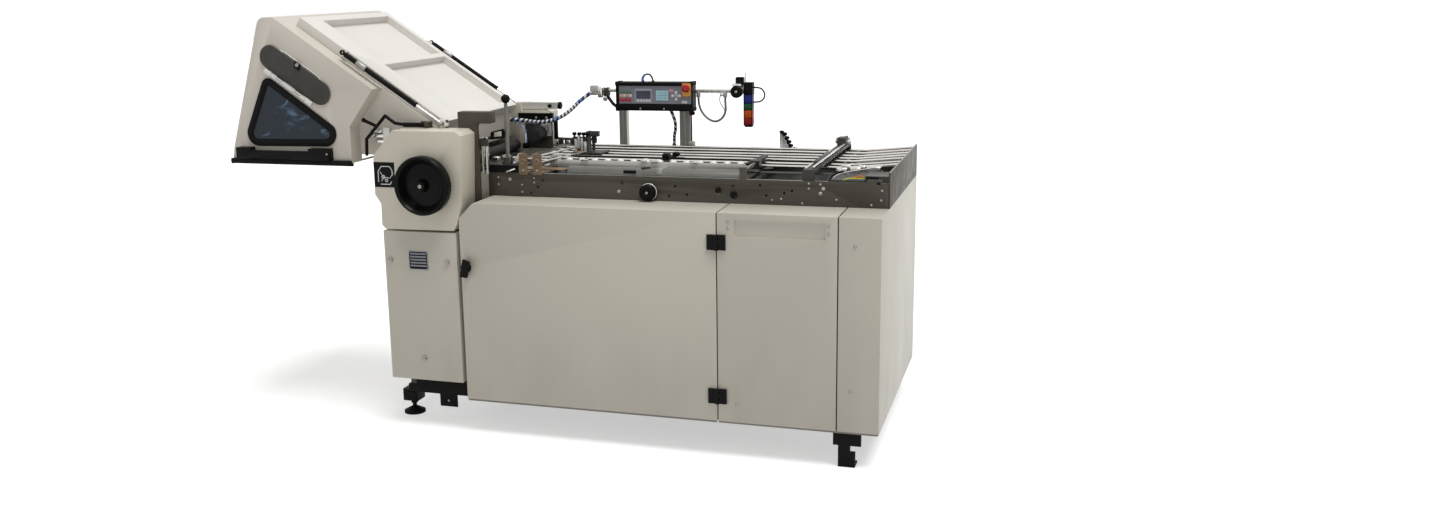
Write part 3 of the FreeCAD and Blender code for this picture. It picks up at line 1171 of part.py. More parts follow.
def spring_cylinders():
    start, end = SPRING_TUBE_S
    tube = slope_bar(start, end, SPRING_OFFSET, SPRING_Y, SPRING_TUBE)
    neck = slope_bar(SPRING_LID_S, start + 1, SPRING_OFFSET, SPRING_Y, 6)
    eye = slope_pin(SPRING_LID_S, SPRING_OFFSET, SPRING_Y - 5, SPRING_Y + 5, SPRING_EYE - 1)
    bore = slope_bar(SPRING_ROD_S - 10, end + 1, SPRING_OFFSET, SPRING_Y, SPRING_ROD + RUNNING)
    hole = slope_pin(SPRING_LID_S, SPRING_OFFSET, SPRING_Y - 6, SPRING_Y + 6, SPRING_STUD + RUNNING)
    near = fuse([tube, neck, eye]).cut(bore).cut(hole)
    return Part.makeCompound([near, mirrored(near, FOLD_MIDDLE_Y)])


def make_hood():
    parts["hood_shell"] = hood_shell()
    parts["hood_lid"] = hood_lid()
    parts["window_pane"] = window_pane()
    parts["side_flap"] = side_flap()
    parts["flap_hinge_rod"] = flap_hinge_rod()
    parts["hood_grip"] = hood_grip()
    parts["spring_rods"] = spring_rods()
    parts["spring_cylinders"] = spring_cylinders()


# ---------------------------------------------------------------------------
# Control panel, its posts and the signal tower
# ---------------------------------------------------------------------------

def panel_posts():
    posts = []
    for x, width in ((POST_1_X, POST_1_WIDTH), (POST_2_X, POST_2_WIDTH)):
        post = box(x, x + width, POST_Y, POST_Y + POST_DEPTH, FRAME_TOP, POST_TOP)
        groove_left = x + (width - POST_GROOVE) / 2
        groove = box(groove_left, groove_left + POST_GROOVE, POST_Y - 1, POST_Y + 5,
                     FRAME_TOP - 1, POST_TOP + 1)
        pad = box(x, x + width, RAIL_ROD_Y + RAIL_ROD_RADIUS, POST_Y + 1,
                  RAIL_ROD_Z - 15, RAIL_ROD_Z + 15)
        posts.append(fuse([post.cut(groove), pad]))
    return Part.makeCompound(posts)


def panel_rail():
    rod = bar_x(RAIL_ROD_LEFT, RAIL_ROD_RIGHT, RAIL_ROD_Y, RAIL_ROD_Z, RAIL_ROD_RADIUS)
    length, depth, height = RAIL_END_BOX
    end_box = box(RAIL_ROD_LEFT - length, RAIL_ROD_LEFT, RAIL_ROD_Y - depth / 2,
                  RAIL_ROD_Y + depth / 2, RAIL_ROD_Z - height / 2, RAIL_ROD_Z + height / 2)
    disc_back = RAIL_ROD_Y - RAIL_ROD_RADIUS + 2
    disc = bar_y(RAIL_ROD_Y - 26, disc_back, RAIL_ROD_RIGHT - RAIL_DISC_INSET, RAIL_ROD_Z,
                 RAIL_DISC)
    gland_low = RAIL_ROD_Z - RAIL_ROD_RADIUS - GLAND_LENGTH + 4
    glands = [bar_z(gland_low, RAIL_ROD_Z, x, RAIL_ROD_Y, GLAND_RADIUS) for x in GLAND_X]
    return fuse([rod, end_box, disc] + glands)


def control_panel():
    """Housing, and the back plate with the two clamps that turn on the rail."""
    back = RAIL_ROD_Y - PANEL_SETBACK
    front = back - PANEL_DEPTH
    left, right, top = PANEL_LEFT, PANEL_LEFT + PANEL_WIDTH, PANEL_BOTTOM + PANEL_TALL
    wall = PANEL_WALL
    case = box(left, right, front, back, PANEL_BOTTOM, top)
    hollow = box(left + wall, right - wall, front + wall, back + 1, PANEL_BOTTOM + wall, top - wall)
    boss = bar_y(front, front + 18, STOP_BUTTON_X, STOP_BUTTON_Z, STOP_BUTTON_STEM + 6)
    housing = fuse([case.cut(hollow), boss])
    housing = housing.cut(bar_y(front - 1, front + STOP_BUTTON_STEM + STOP_BUTTON_STROKE_GAP,
                                STOP_BUTTON_X, STOP_BUTTON_Z, STOP_BUTTON_STEM + BODY_GAP))
    plate = [box(left + wall, right - wall, back - wall, back, PANEL_BOTTOM + wall, top - wall)]
    for x in CLAMP_X:
        x0, x1 = x - CLAMP_HALF, x + CLAMP_HALF
        plate.append(bar_x(x0, x1, RAIL_ROD_Y, RAIL_ROD_Z, RAIL_ROD_RADIUS + CLAMP_WALL))
        plate.append(box(x0, x1, back - 1, RAIL_ROD_Y, RAIL_ROD_Z - CLAMP_HALF, RAIL_ROD_Z + CLAMP_HALF))
    bore = bar_x(left, right, RAIL_ROD_Y, RAIL_ROD_Z, RAIL_ROD_RADIUS + RUNNING)
    return Part.makeCompound([housing, fuse(plate).cut(bore)])


def e_stop():
    front = RAIL_ROD_Y - PANEL_SETBACK - PANEL_DEPTH
    stem = bar_y(front - 16, front + STOP_BUTTON_STEM, STOP_BUTTON_X, STOP_BUTTON_Z, STOP_BUTTON_STEM)
    cap = bar_y(front - 26, front - 14, STOP_BUTTON_X, STOP_BUTTON_Z, STOP_BUTTON_RADIUS)
    cap = cap.makeFillet(4, [e for e in cap.Edges if e.BoundBox.YMax < front - 25])
    return fuse([stem, cap])


def signal_tower():
    x0, x1 = RAIL_ROD_RIGHT, RAIL_ROD_RIGHT + TOWER_WIDTH
    y0, y1 = RAIL_ROD_Y - TOWER_WIDTH / 2, RAIL_ROD_Y + TOWER_WIDTH / 2
    body = box(x0, x1, y0, y1, TOWER_BOTTOM, TOWER_TOP)
    return body.makeChamfer(6, [e for e in body.Edges if e.BoundBox.ZMax < TOWER_BOTTOM + 1])


def make_control():
    parts["panel_posts"] = panel_posts()
    parts["panel_rail"] = panel_rail()
    parts["control_panel"] = control_panel()
    parts["e_stop"] = e_stop()
    parts["signal_tower"] = signal_tower()


# ---------------------------------------------------------------------------
# Cables: straight runs joined by tangent arcs
# ---------------------------------------------------------------------------

ROUTES = {
    "harness": (HARNESS_DIAMETER, [
        (-120, 744, 1056), (-72, 744, 1056), (-14, 745, 1046), (46, 752, 1050), (92, 778, 1068),
        (122, 816, 1096), (146, 852, 1130), (186, 872, 1158)]),
    "braided_lead": (BRAID_DIAMETER, [
        (508, 880, 1141), (508, 880, 1108), (522, 883, 1074), (532, 889, 1042), (529, 902, 1010),
        (518, 920, 984), (515, 926, 964), (515, 926, 946)]),
    "grey_loop": (LOOP_DIAMETER, [
        (632, 880, 1141), (632, 880, 1117), (643, 880, 1084), (667, 880, 1056), (701, 880, 1042),
        (730, 880, 1058), (744, 880, 1088), (741, 880, 1118), (741, 880, 1141)]),
    "tower_lead": (TOWER_LEAD_DIAMETER, [
        (855, 880, 1180), (873, 880, 1180), (890, 880, 1174), (900, 880, 1157), (898, 880, 1139),
        (885, 880, 1126), (868, 880, 1123), (855, 880, 1123)]),
}


def cord_tube(name, diameter, points):
    path = [V(*p) for p in points]
    edges = []
    radii = []
    start = path[0]
    for before, corner, after in zip(path, path[1:], path[2:]):
        into, out = corner.sub(before), after.sub(corner)
        turn = into.getAngle(out)
        shorter = min(into.Length, out.Length)
        reach = 0.45 * shorter
        radius = reach / math.tan(turn / 2)
        radii.append(radius)
        a = corner.sub(V(into).normalize().multiply(reach))
        b = corner.add(V(out).normalize().multiply(reach))
        inward = V(out).normalize().sub(V(into).normalize()).normalize()
        centre = corner.add(inward.multiply(radius / math.cos(turn / 2)))
        middle = centre.add(corner.sub(centre).normalize().multiply(radius))
        edges.append(Part.LineSegment(start, a).toShape())
        edges.append(Part.Arc(a, middle, b).toShape())
        start = b
    edges.append(Part.LineSegment(start, path[-1]).toShape())
    wire = Part.Wire(edges)
    circle = Part.Wire(Part.makeCircle(diameter / 2, path[0], path[1].sub(path[0])))
    tube = wire.makePipeShell([circle], True, False)
    section = math.pi * diameter * diameter / 4
    print("%s: length %.0f, radii in diameters %s, volume ratio %.4f" % (
        name, wire.Length, " ".join("%.1f" % (r / diameter) for r in radii),
        tube.Volume / (section * wire.Length)))
    return tube


def make_cables():
    for name, (diameter, points) in ROUTES.items():
        parts[name] = cord_tube(name, diameter, points)


# ---------------------------------------------------------------------------
# Output
# ---------------------------------------------------------------------------

def write_parts():
    os.makedirs("parts", exist_ok=True)
    for name, shape in parts.items():
        placed = shape.copy()
        placed.translate(V(-ORIGIN_X, -ORIGIN_Y, 0))
        placed.exportStep("parts/%s.step" % name)
        valid = "valid" if placed.isValid() else "NOT VALID"
        print("%-20s %2d solids %12.0f mm3 %s" % (name, len(placed.Solids), placed.Volume, valid))


make_base()
make_cabinet()
make_table()
make_fold_unit()
make_hood()
make_control()
make_cables()
write_parts()
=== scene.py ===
import bpy
import json
import math
from mathutils import Matrix, Vector


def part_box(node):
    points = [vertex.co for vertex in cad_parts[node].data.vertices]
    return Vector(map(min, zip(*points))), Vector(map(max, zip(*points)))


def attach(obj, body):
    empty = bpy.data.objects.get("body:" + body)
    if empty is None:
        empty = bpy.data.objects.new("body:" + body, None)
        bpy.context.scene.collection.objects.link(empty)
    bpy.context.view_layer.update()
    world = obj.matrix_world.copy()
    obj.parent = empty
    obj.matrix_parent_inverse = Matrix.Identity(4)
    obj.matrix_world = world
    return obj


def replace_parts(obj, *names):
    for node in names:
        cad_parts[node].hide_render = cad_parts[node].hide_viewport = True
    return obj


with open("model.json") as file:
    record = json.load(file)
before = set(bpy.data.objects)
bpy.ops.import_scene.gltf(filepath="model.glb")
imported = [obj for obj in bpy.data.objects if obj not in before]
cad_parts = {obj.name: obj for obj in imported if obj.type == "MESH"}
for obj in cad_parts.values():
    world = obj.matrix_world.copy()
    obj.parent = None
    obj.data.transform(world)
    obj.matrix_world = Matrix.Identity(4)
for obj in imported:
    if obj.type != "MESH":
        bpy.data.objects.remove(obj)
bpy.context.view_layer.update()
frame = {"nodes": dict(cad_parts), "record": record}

# Places below are in the workshop's millimetres: X from the door's left edge towards the
# feed end, Y from the panels' face towards the rear, Z up from the floor.
MM = 0.001
ROW_ORIGIN = Vector((262.0, 436.5, 0.0))


def at(x, y, z):
    """The row frame's place, in metres, of a workshop point."""
    return (Vector((x, y, z)) - ROW_ORIGIN) * MM


# ---- Shader nodes ----

def feed(tree, sockets, values):
    """Links each named socket to the socket that feeds it, or gives it its plain value."""
    for key, value in values.items():
        if isinstance(value, bpy.types.NodeSocket):
            tree.links.new(value, sockets[key])
        else:
            sockets[key].default_value = value


def node(tree, kind, values=None, **settings):
    made = tree.nodes.new("ShaderNode" + kind)
    for key, value in settings.items():
        setattr(made, key, value)
    feed(tree, made.inputs, values or {})
    return made


def compute(tree, operation, *values):
    return node(tree, "Math", dict(enumerate(values)), operation=operation).outputs[0]


def shade(colour, factor):
    return tuple(min(c * factor, 1) for c in colour)


# ---- Camera, floor and light ----

CAMERA_PLACE = (1.7689, -4.4503, 1.6020)
CAMERA_YAW = -0.322
CAMERA_PITCH = 0.209
CAMERA_ROLL = -0.0215
CAMERA_LENS = 31.94
CAMERA_SHIFT = (0.0538, -0.0020)

AMBIENT = 0.40
AMBIENT_COLOUR = (1.0, 0.99, 0.975, 1)
SUN_FROM = (0.27, -0.12, 0.95)
SUN_STRENGTH = 2.05
SUN_ANGLE = 30.0
FLOOR_SIZE = 60.0
FLOOR_DROP = 0.0005
FLOOR_COLOUR = (0.75, 0.75, 0.75, 1)
FLOOR_GLOW = 0.52


def add_camera():
    bpy.ops.object.camera_add(location=CAMERA_PLACE)
    camera = bpy.context.object
    forward = Vector((math.sin(CAMERA_YAW) * math.cos(CAMERA_PITCH),
                      math.cos(CAMERA_YAW) * math.cos(CAMERA_PITCH), -math.sin(CAMERA_PITCH)))
    right = forward.cross(Vector((0, 0, 1))).normalized()
    up = right.cross(forward)
    cos_roll, sin_roll = math.cos(CAMERA_ROLL), math.sin(CAMERA_ROLL)
    side = right * cos_roll + up * sin_roll
    top = up * cos_roll - right * sin_roll
    turn = Matrix((side, top, -forward)).transposed().to_4x4()
    camera.matrix_world = Matrix.Translation(CAMERA_PLACE) @ turn
    camera.data.sensor_width = 36.0
    camera.data.lens = CAMERA_LENS
    camera.data.shift_x, camera.data.shift_y = CAMERA_SHIFT
    camera.data.clip_end = 200.0
    bpy.context.scene.camera = camera


def seen_directly(tree):
    """1 for what the camera, a reflection or a clear piece sees, 0 for light on the object."""
    path = node(tree, "LightPath").outputs
    sharp = compute(tree, "MAXIMUM", path["Is Camera Ray"], path["Is Glossy Ray"])
    return compute(tree, "MAXIMUM", sharp, path["Is Transmission Ray"])


def add_world():
    world = bpy.data.worlds.new("studio")
    bpy.context.scene.world = world
    world.use_nodes = True
    tree = world.node_tree
    tree.nodes.clear()
    soft = node(tree, "Background", {"Color": AMBIENT_COLOUR, "Strength": AMBIENT})
    white = node(tree, "Background", {"Color": (1, 1, 1, 1), "Strength": 1.0})
    mix = node(tree, "MixShader", {0: seen_directly(tree), 1: soft.outputs[0], 2: white.outputs[0]})
    node(tree, "OutputWorld", {0: mix.outputs[0]})


def add_sun():
    bpy.ops.object.light_add(type="SUN")
    sun = bpy.context.object
    sun.rotation_euler = Vector(SUN_FROM).to_track_quat("Z", "Y").to_euler()
    sun.data.energy = SUN_STRENGTH
    sun.data.angle = math.radians(SUN_ANGLE)


def add_floor():
    """White floor that takes the object's shadow and glows towards the camera."""
    bpy.ops.mesh.primitive_plane_add(size=FLOOR_SIZE, location=(0, 0, -FLOOR_DROP))
    floor = bpy.context.object
    floor.name = "studio_floor"
    material = bpy.data.materials.new("studio_floor")
    material.use_nodes = True
    tree = material.node_tree
    tree.nodes.clear()
    diffuse = node(tree, "BsdfDiffuse", {"Color": FLOOR_COLOUR})
    glow = node(tree, "Emission", {"Strength": compute(tree, "MULTIPLY", seen_directly(tree), FLOOR_GLOW)})
    both = node(tree, "AddShader", {0: diffuse.outputs[0], 1: glow.outputs[0]})
    node(tree, "OutputMaterial", {0: both.outputs[0]})
    floor.data.materials.append(material)


# ---- Finishes ----

class Finish:
    """A material's node tree, with the few patterns that the finishes share."""

    def __init__(self, name, colour, roughness, metallic=0.0, specular=0.5):
        self.material = bpy.data.materials.new(name)
        self.material.use_nodes = True
        self.tree = self.material.node_tree
        self.colour = colour
        self.roughness = roughness
        self.coordinates = node(self.tree, "TexCoord").outputs
        self.set({"Base Color": (*colour, 1.0), "Roughness": roughness, "Metallic": metallic,
                  "Specular IOR Level": specular})

    def set(self, values):
        feed(self.tree, self.tree.nodes["Principled BSDF"].inputs, values)

    def noise(self, scale, detail, stretch=(1, 1, 1), distortion=0.0):
        mapping = node(self.tree, "Mapping", {"Scale": stretch, "Vector": self.coordinates["Object"]})
        pattern = node(self.tree, "TexNoise", {"Scale": scale, "Detail": detail, "Distortion": distortion,
                                               "Vector": mapping.outputs[0]})
        return pattern.outputs["Fac"]

    def spread(self, source, low, high, from_low=0.3, from_high=0.7):
        """Maps the middle of a pattern to the range low to high."""
        ramp = node(self.tree, "MapRange", {"From Min": from_low, "From Max": from_high, "To Min": low,
                                            "To Max": high, "Value": source})
        return ramp.outputs[0]

    def axes(self, kind):
        """The Object or UV coordinates, axis by axis."""
        return node(self.tree, "SeparateXYZ", {0: self.coordinates[kind]}).outputs

    def blend(self, factor, first, second):
        """Mixes two colours, plain or from a pattern, by a factor from a pattern."""
        first, second = ((*c, 1.0) if isinstance(c, tuple) else c for c in (first, second))
        return node(self.tree, "Mix", {"Factor": factor, 6: first, 7: second}, data_type="RGBA").outputs[2]

    def mottle(self, amount, scale):
        """Slow variation of the base colour."""
        factor = self.spread(self.noise(scale, 4), 0.0, 1.0)
        colour = self.blend(factor, shade(self.colour, 1 - amount), shade(self.colour, 1 + amount))
        self.set({"Base Color": colour})
        return colour

    def gloss_patches(self, amount, scale, stretch=(1, 1, 1)):
        patches = self.noise(scale, 4, stretch)
        self.set({"Roughness": self.spread(patches, self.roughness - amount, self.roughness + amount)})

    def relief(self, scale, strength, distance, stretch=(1, 1, 1), detail=2.0):
        bump = node(self.tree, "Bump", {"Strength": strength, "Distance": distance,
                                        "Height": self.noise(scale, detail, stretch)})
        self.set({"Normal": bump.outputs[0]})


def powder_paint(name, colour, painted_shade_top=None):
    """Satin powder coat: faint orange peel, slow mottle, and painted shade in patches near the floor."""
    finish = Finish(name, colour, 0.40, specular=0.4)
    unshaded = finish.mottle(0.022, 1.8)
    if painted_shade_top is not None:
        # Painted shade: patches of a darker colour towards the floor, where the lower panels lie in shade.
        near_floor = finish.spread(finish.axes("Object")["Z"], 1.0, 0.0, painted_shade_top - 0.3, painted_shade_top)
        patches = finish.spread(finish.noise(7.0, 5, (1, 1, 0.35)), 0.0, 1.0, 0.35, 0.75)
        painted_shade = compute(finish.tree, "MULTIPLY", near_floor, patches)
        finish.set({"Base Color": finish.blend(painted_shade, unshaded, shade(colour, 0.9))})
    finish.gloss_patches(0.05, 5.0)
    finish.relief(420.0, 0.08, 0.0004)
    return finish.material


def enamel(name, colour, roughness=0.35, specular=0.25):
    finish = Finish(name, colour, roughness, specular=specular)
    finish.mottle(0.12, 12.0)
    finish.gloss_patches(0.08, 30.0)
    finish.relief(600.0, 0.06, 0.0003)
    return finish.material


def ground_steel(name, colour, roughness, along, metallic=1.0, relief=0.05):
    """Metal with fine marks along one direction, which is the small number of the stretch."""
    finish = Finish(name, colour, roughness, metallic)
    marks = finish.spread(finish.noise(260.0, 3, along), 0.0, 1.0)
    cloud = finish.spread(finish.noise(7.0, 4), 0.0, 1.0)
    clouded = finish.blend(cloud, shade(colour, 0.82), shade(colour, 1.12))
    finish.set({"Base Color": finish.blend(marks, shade(colour, 0.9), clouded)})
    finish.gloss_patches(0.07, 60.0, along)
    finish.relief(500.0, relief, 0.0002, along)
    return finish.material


def oiled_plate(name, colour):
    """Dark oiled plate: cloudy tone, faint rolling marks and handling smears."""
    finish = Finish(name, colour, 0.48, 0.15, 0.3)
    cloud = finish.spread(finish.noise(3.0, 5, (0.6, 1, 1.4)), 0.0, 1.0)
    base = finish.blend(cloud, shade(colour, 0.80), shade(colour, 1.18))
    smears = finish.spread(finish.noise(18.0, 6, (0.25, 1, 1)), 0.0, 0.35, 0.55, 0.75)
    finish.set({"Base Color": finish.blend(smears, base, shade(colour, 1.9))})
    finish.gloss_patches(0.09, 14.0, (0.3, 1, 1))
    finish.relief(420.0, 0.08, 0.0003, (0.1, 1, 1))
    return finish.material


def moulded(name, colour, roughness=0.42):
    finish = Finish(name, colour, roughness, specular=0.08)
    finish.mottle(0.08, 20.0)
    finish.gloss_patches(0.05, 45.0)
    finish.relief(900.0, 0.12, 0.0003)
    return finish.material


def gloss_plastic(name, colour, roughness, coat=0.3, specular=0.5):
    finish = Finish(name, colour, roughness, specular=specular)
    finish.mottle(0.05, 14.0)
    finish.gloss_patches(0.05, 40.0)
    finish.set({"Coat Weight": coat, "Coat Roughness": 0.08})
    return finish.material


def rubber(name, colour, roughness=0.68):
    finish = Finish(name, colour, roughness, specular=0.1)
    finish.mottle(0.15, 16.0)
    finish.gloss_patches(0.08, 60.0)
    finish.relief(700.0, 0.18, 0.0004)
    return finish.material


def clear_acrylic(name, colour, see_through):
    """Clear sheet: a faint tint over what lies under it, and a little haze."""
    finish = Finish(name, colour, 0.15, specular=0.1)
    finish.mottle(0.05, 6.0)
    finish.gloss_patches(0.05, 12.0)
    finish.set({"Alpha": 1.0 - see_through})
    return finish.material


def tinted_window(name):
    """Blue tinted film with creases, and painted highlights where the creases catch the light."""
    finish = Finish(name, (0.014, 0.020, 0.034), 0.3, specular=0.25)
    depth = finish.spread(finish.noise(3.2, 2), 0.0, 1.0, 0.35, 0.65)
    film = finish.blend(depth, (0.015, 0.020, 0.026), (0.016, 0.030, 0.052))
    creases = finish.spread(finish.noise(11.0, 7, (1.0, 1, 2.6), 1.4), 0.0, 1.0, 0.56, 0.66)
    patches = finish.spread(finish.noise(4.6, 2), 0.0, 0.9, 0.38, 0.56)
    # Painted highlight: lighter blue on some of the creases.
    painted_highlight = compute(finish.tree, "MULTIPLY", creases, patches)
    finish.set({"Base Color": finish.blend(painted_highlight, film, (0.13, 0.22, 0.36))})
    finish.gloss_patches(0.08, 30.0)
    finish.relief(9.0, 0.5, 0.006, (1.0, 1, 2.0), 4.0)
    return finish.material


def braid(name, thread, stripe, turns, patches=None):
    """Sleeve whose stripes wind round the cord, by the cord's own map."""
    finish = Finish(name, thread, 0.5)
    axes = finish.axes("UV")
    along = compute(finish.tree, "MULTIPLY_ADD", axes["X"], turns, axes["Y"])
    band = finish.spread(compute(finish.tree, "FRACT", along), 0.0, 1.0, 0.44, 0.50)
    base = thread
    if patches:
        wires = finish.spread(finish.noise(34.0, 2), 0.0, 1.0, 0.52, 0.56)
        base = finish.blend(wires, thread, patches)
    finish.set({"Base Color": finish.blend(band, base, stripe)})
    finish.relief(900.0, 0.2, 0.0004)
    return finish.material


def lens(name, colour):
    finish = Finish(name, colour, 0.3, specular=0.2)
    ribs = finish.spread(finish.noise(150.0, 2, (1, 1, 0.02)), 0.0, 1.0)
    finish.set({"Base Color": finish.blend(ribs, shade(colour, 0.6), colour)})
    finish.gloss_patches(0.05, 50.0)
    return finish.material


FINISHES = {
    # The cabinet's paint is darker in patches near the floor: painted shade.
    "cabinet": powder_paint("cabinet_paint", (0.550, 0.520, 0.446), 0.55),
    "casing": powder_paint("casing_paint", (0.640, 0.600, 0.500)),
    "hood": powder_paint("hood_paint", (0.640, 0.595, 0.525)),
    "lid": powder_paint("lid_paint", (0.80, 0.77, 0.72)),
    # Darker copy of the lid's paint for the lid's walls: painted shade.
    "lid_wall_painted_shade": powder_paint("lid_wall_painted_shade_paint", (0.74, 0.715, 0.67)),
    # Dark paint: the throw lever's rod, and painted shade along the panels' bottom edges.
    "dark_paint_and_painted_shade": powder_paint("dark_paint_and_painted_shade", (0.20, 0.185, 0.165)),
    "flap": enamel("flap_enamel", (0.052, 0.048, 0.043), 0.5),
    "column": enamel("column_enamel", (0.070, 0.058, 0.045), 0.5),
    "black": enamel("black_enamel", (0.0060, 0.0055, 0.005), 0.45, 0.08),
    "motor": enamel("motor_enamel", (0.035, 0.036, 0.038), 0.45),
    "tan_bracket": enamel("tan_bracket", (0.225, 0.155, 0.095), 0.5),
    "zinc_rim": enamel("zinc_rim", (0.80, 0.80, 0.77)),
    "frame_steel": oiled_plate("frame_steel", (0.076, 0.066, 0.053)),
    "dark_steel": oiled_plate("blackened_steel", (0.045, 0.041, 0.036)),
    "bright_steel": ground_steel("bright_steel", (0.66, 0.645, 0.61), 0.24, (1, 0.06, 1)),
    "rod_steel": ground_steel("rod_steel", (0.72, 0.69, 0.65), 0.22, (0.05, 1, 1)),
    "sheet_steel": ground_steel("sheet_steel", (0.17, 0.16, 0.142), 0.45, (0.04, 1, 1), 0.15, 0.0),
    "zinc": ground_steel("zinc", (0.34, 0.33, 0.30), 0.36, (1, 1, 1), 0.6),
    "aluminium": ground_steel("anodised_aluminium", (0.52, 0.52, 0.485), 0.42, (1, 1, 0.05), 0.35),
    "satin_bar": ground_steel("satin_bar", (0.76, 0.75, 0.71), 0.45, (0.05, 1, 1), 0.25),
    # Metal tone for faces that look up: painted light on top edges.
    "painted_top_light": ground_steel("painted_top_light_metal", (0.30, 0.285, 0.26), 0.4, (0.05, 1, 1), 0.4),
    "black_plastic": moulded("black_plastic", (0.0055, 0.0055, 0.0055)),
    "knob": moulded("knob_plastic", (0.006, 0.0055, 0.005), 0.35),
    "wheel": gloss_plastic("wheel_plastic", (0.0035, 0.0034, 0.003), 0.26, 0.0, 0.09),
    "red": gloss_plastic("stop_red", (0.50, 0.012, 0.010), 0.25, 0.1, 0.3),
    "yellow": gloss_plastic("collar_yellow", (0.84, 0.36, 0.02), 0.3),
    "white_ball": gloss_plastic("ball_white", (0.86, 0.85, 0.82), 0.15),
    "overlay": gloss_plastic("overlay_grey", (0.26, 0.26, 0.30), 0.4, 0.0, 0.3),
    "glass": gloss_plastic("display_glass", (0.105, 0.108, 0.150), 0.4, 0.0, 0.1),
    "bezel": gloss_plastic("display_bezel", (0.44, 0.44, 0.52), 0.4, 0.0),
    "green_key": gloss_plastic("green_key", (0.075, 0.20, 0.12), 0.4, 0.0),
    "orange_key": gloss_plastic("orange_key", (0.86, 0.45, 0.30), 0.4, 0.0),
    "red_key": gloss_plastic("red_key", (0.50, 0.020, 0.05), 0.4, 0.0),
    "cyan_key": gloss_plastic("cyan_key", (0.48, 0.82, 0.93), 0.4, 0.0),
    "white_key": gloss_plastic("white_key", (0.86, 0.84, 0.86), 0.4, 0.0),
    "pink_key": gloss_plastic("pink_key", (0.56, 0.33, 0.36), 0.4, 0.0),
    "rubber": rubber("black_rubber", (0.006, 0.006, 0.006)),
    "roller": rubber("roller_rubber", (0.045, 0.044, 0.043), 0.6),
    "belt": rubber("belt_backing", (0.075, 0.08, 0.07), 0.75),
    "grey_cable": rubber("grey_cable", (0.30, 0.29, 0.27), 0.5),
    "black_cable": rubber("black_cable", (0.007, 0.007, 0.007), 0.5),
    "yellow_wire": rubber("yellow_wire", (0.62, 0.66, 0.05), 0.5),
    "orange_wire": rubber("orange_wire", (0.80, 0.26, 0.03), 0.5),
    "blue_wire": rubber("blue_wire", (0.10, 0.27, 0.75), 0.5),
    "harness": braid("harness_sleeve", (0.74, 0.76, 0.80), (0.012, 0.014, 0.03), 20.0, (0.10, 0.26, 0.72)),
    "braided_lead": braid("braided_sleeve", (0.80, 0.80, 0.78), (0.010, 0.010, 0.010), 9.0),
    "acrylic": clear_acrylic("guard_acrylic", (0.24, 0.30, 0.29), 0.92),
    "window": tinted_window("window_film"),
    "blue_lens": lens("blue_lens", (0.012, 0.03, 0.30)),
    "green_lens": lens("green_lens", (0.006, 0.105, 0.035)),
    "orange_lens": lens("orange_lens", (0.80, 0.13, 0.008)),
    "red_lens": lens("red_lens", (0.42, 0.008, 0.008)),
}


def by_member(groups):
    """Each member's group, from each group's members."""
    return {member: group for group, members in groups.items() for member in members.split()}


NODE_FINISH = by_member({
    "black": "base_frame hook_stands bent_lever spring_cylinders",
    "rubber": "foot_front foot_rear window_pane",
    "cabinet": "main_door middle_panel corner_cover rear_panel lower_cover",
    "black_plastic": "door_hinge_blocks door_hinge_leaves door_latch hood_grip control_panel signal_tower",
    "zinc": "fasteners",
    "frame_steel": "side_frame_front side_frame_rear cross_beam",
    "column": "end_plate fold_plate_front",
    "casing": "fold_plate_rear wheel_casing rear_casing",
    "rod_steel": "table_rods",
    "roller": "table_roller_1 table_roller_2 table_roller_3 fold_roller_1 fold_roller_2 fold_roller_3",
    "aluminium": "belt_drum_left belt_drum_right panel_posts panel_rail",
    "belt": "register_belt",
    "satin_bar": "ball_ruler",
    "white_ball": "ruler_balls",
    "knob": "lay_knob",
    "acrylic": "clear_guard",
    "dark_steel": "cross_carriage sensor_carriage throw_lever",
    "wheel": "hand_wheel",
    "bright_steel": "buckle_plates plate_stop flap_hinge_rod spring_rods",
    "motor": "drive_motor",
    "hood": "hood_shell",
    "lid": "hood_lid",
    "flap": "side_flap",
    "red": "e_stop",
})

NODE_BODY = {member: body for body, members in frame["record"]["behaviour"]["bodies"].items()
             for member in members}
NODE_SLOT = {entry["node"]: entry["material_slot"] for entry in frame["record"]["subparts"]}


def finish_cad_nodes():
    for name, finish in NODE_FINISH.items():
        mesh = frame["nodes"][name].data
        mesh.materials.clear()
        mesh.materials.append(FINISHES[finish])


# ---- Modelling helpers ----

SMOOTH_ANGLE = math.radians(32)
ROUND_ANGLE = math.radians(35)
MERGE_DISTANCE = 0.02
FLAT_ANGLE = math.radians(0.6)
FACING = 0.98    # least cosine between a face's direction and the one asked for
SQUARE = 0.9     # the same, where rounded edges count as well

SLOPE = math.radians(33.3)
DOWN = Vector((math.cos(SLOPE), 0, -math.sin(SLOPE)))
OUT = Vector((math.sin(SLOPE), 0, math.cos(SLOPE)))
SLOPE_START = Vector((-739.0, 0.0, 1494.0))
FRONT = Vector((0, -1, 0))
UP = Vector((0, 0, 1))
RIGHT = Vector((1, 0, 0))


def on_slope(s, y, off):
    """Workshop point that lies s down the hood's slope and off above it."""
    point = SLOPE_START + DOWN * s + OUT * off
    return (point.x, y, point.z)


def only(piece):
    """Makes the piece the only selected and the active one, in object mode."""
    if bpy.context.object and bpy.context.object.mode != "OBJECT":
        bpy.ops.object.mode_set(mode="OBJECT")
    bpy.ops.object.select_all(action="DESELECT")
    piece.select_set(True)
    bpy.context.view_layer.objects.active = piece


def settle(piece):
    """Puts the piece's place into its mesh, so that its object lies at the origin."""
    only(piece)
    bpy.ops.object.transform_apply(location=True, rotation=True, scale=True)


def edit_faces(piece):
    only(piece)
    bpy.context.tool_settings.mesh_select_mode = (False, False, True)
    bpy.ops.object.mode_set(mode="EDIT")


def edit_all(piece):
    edit_faces(piece)
    bpy.ops.mesh.select_all(action="SELECT")


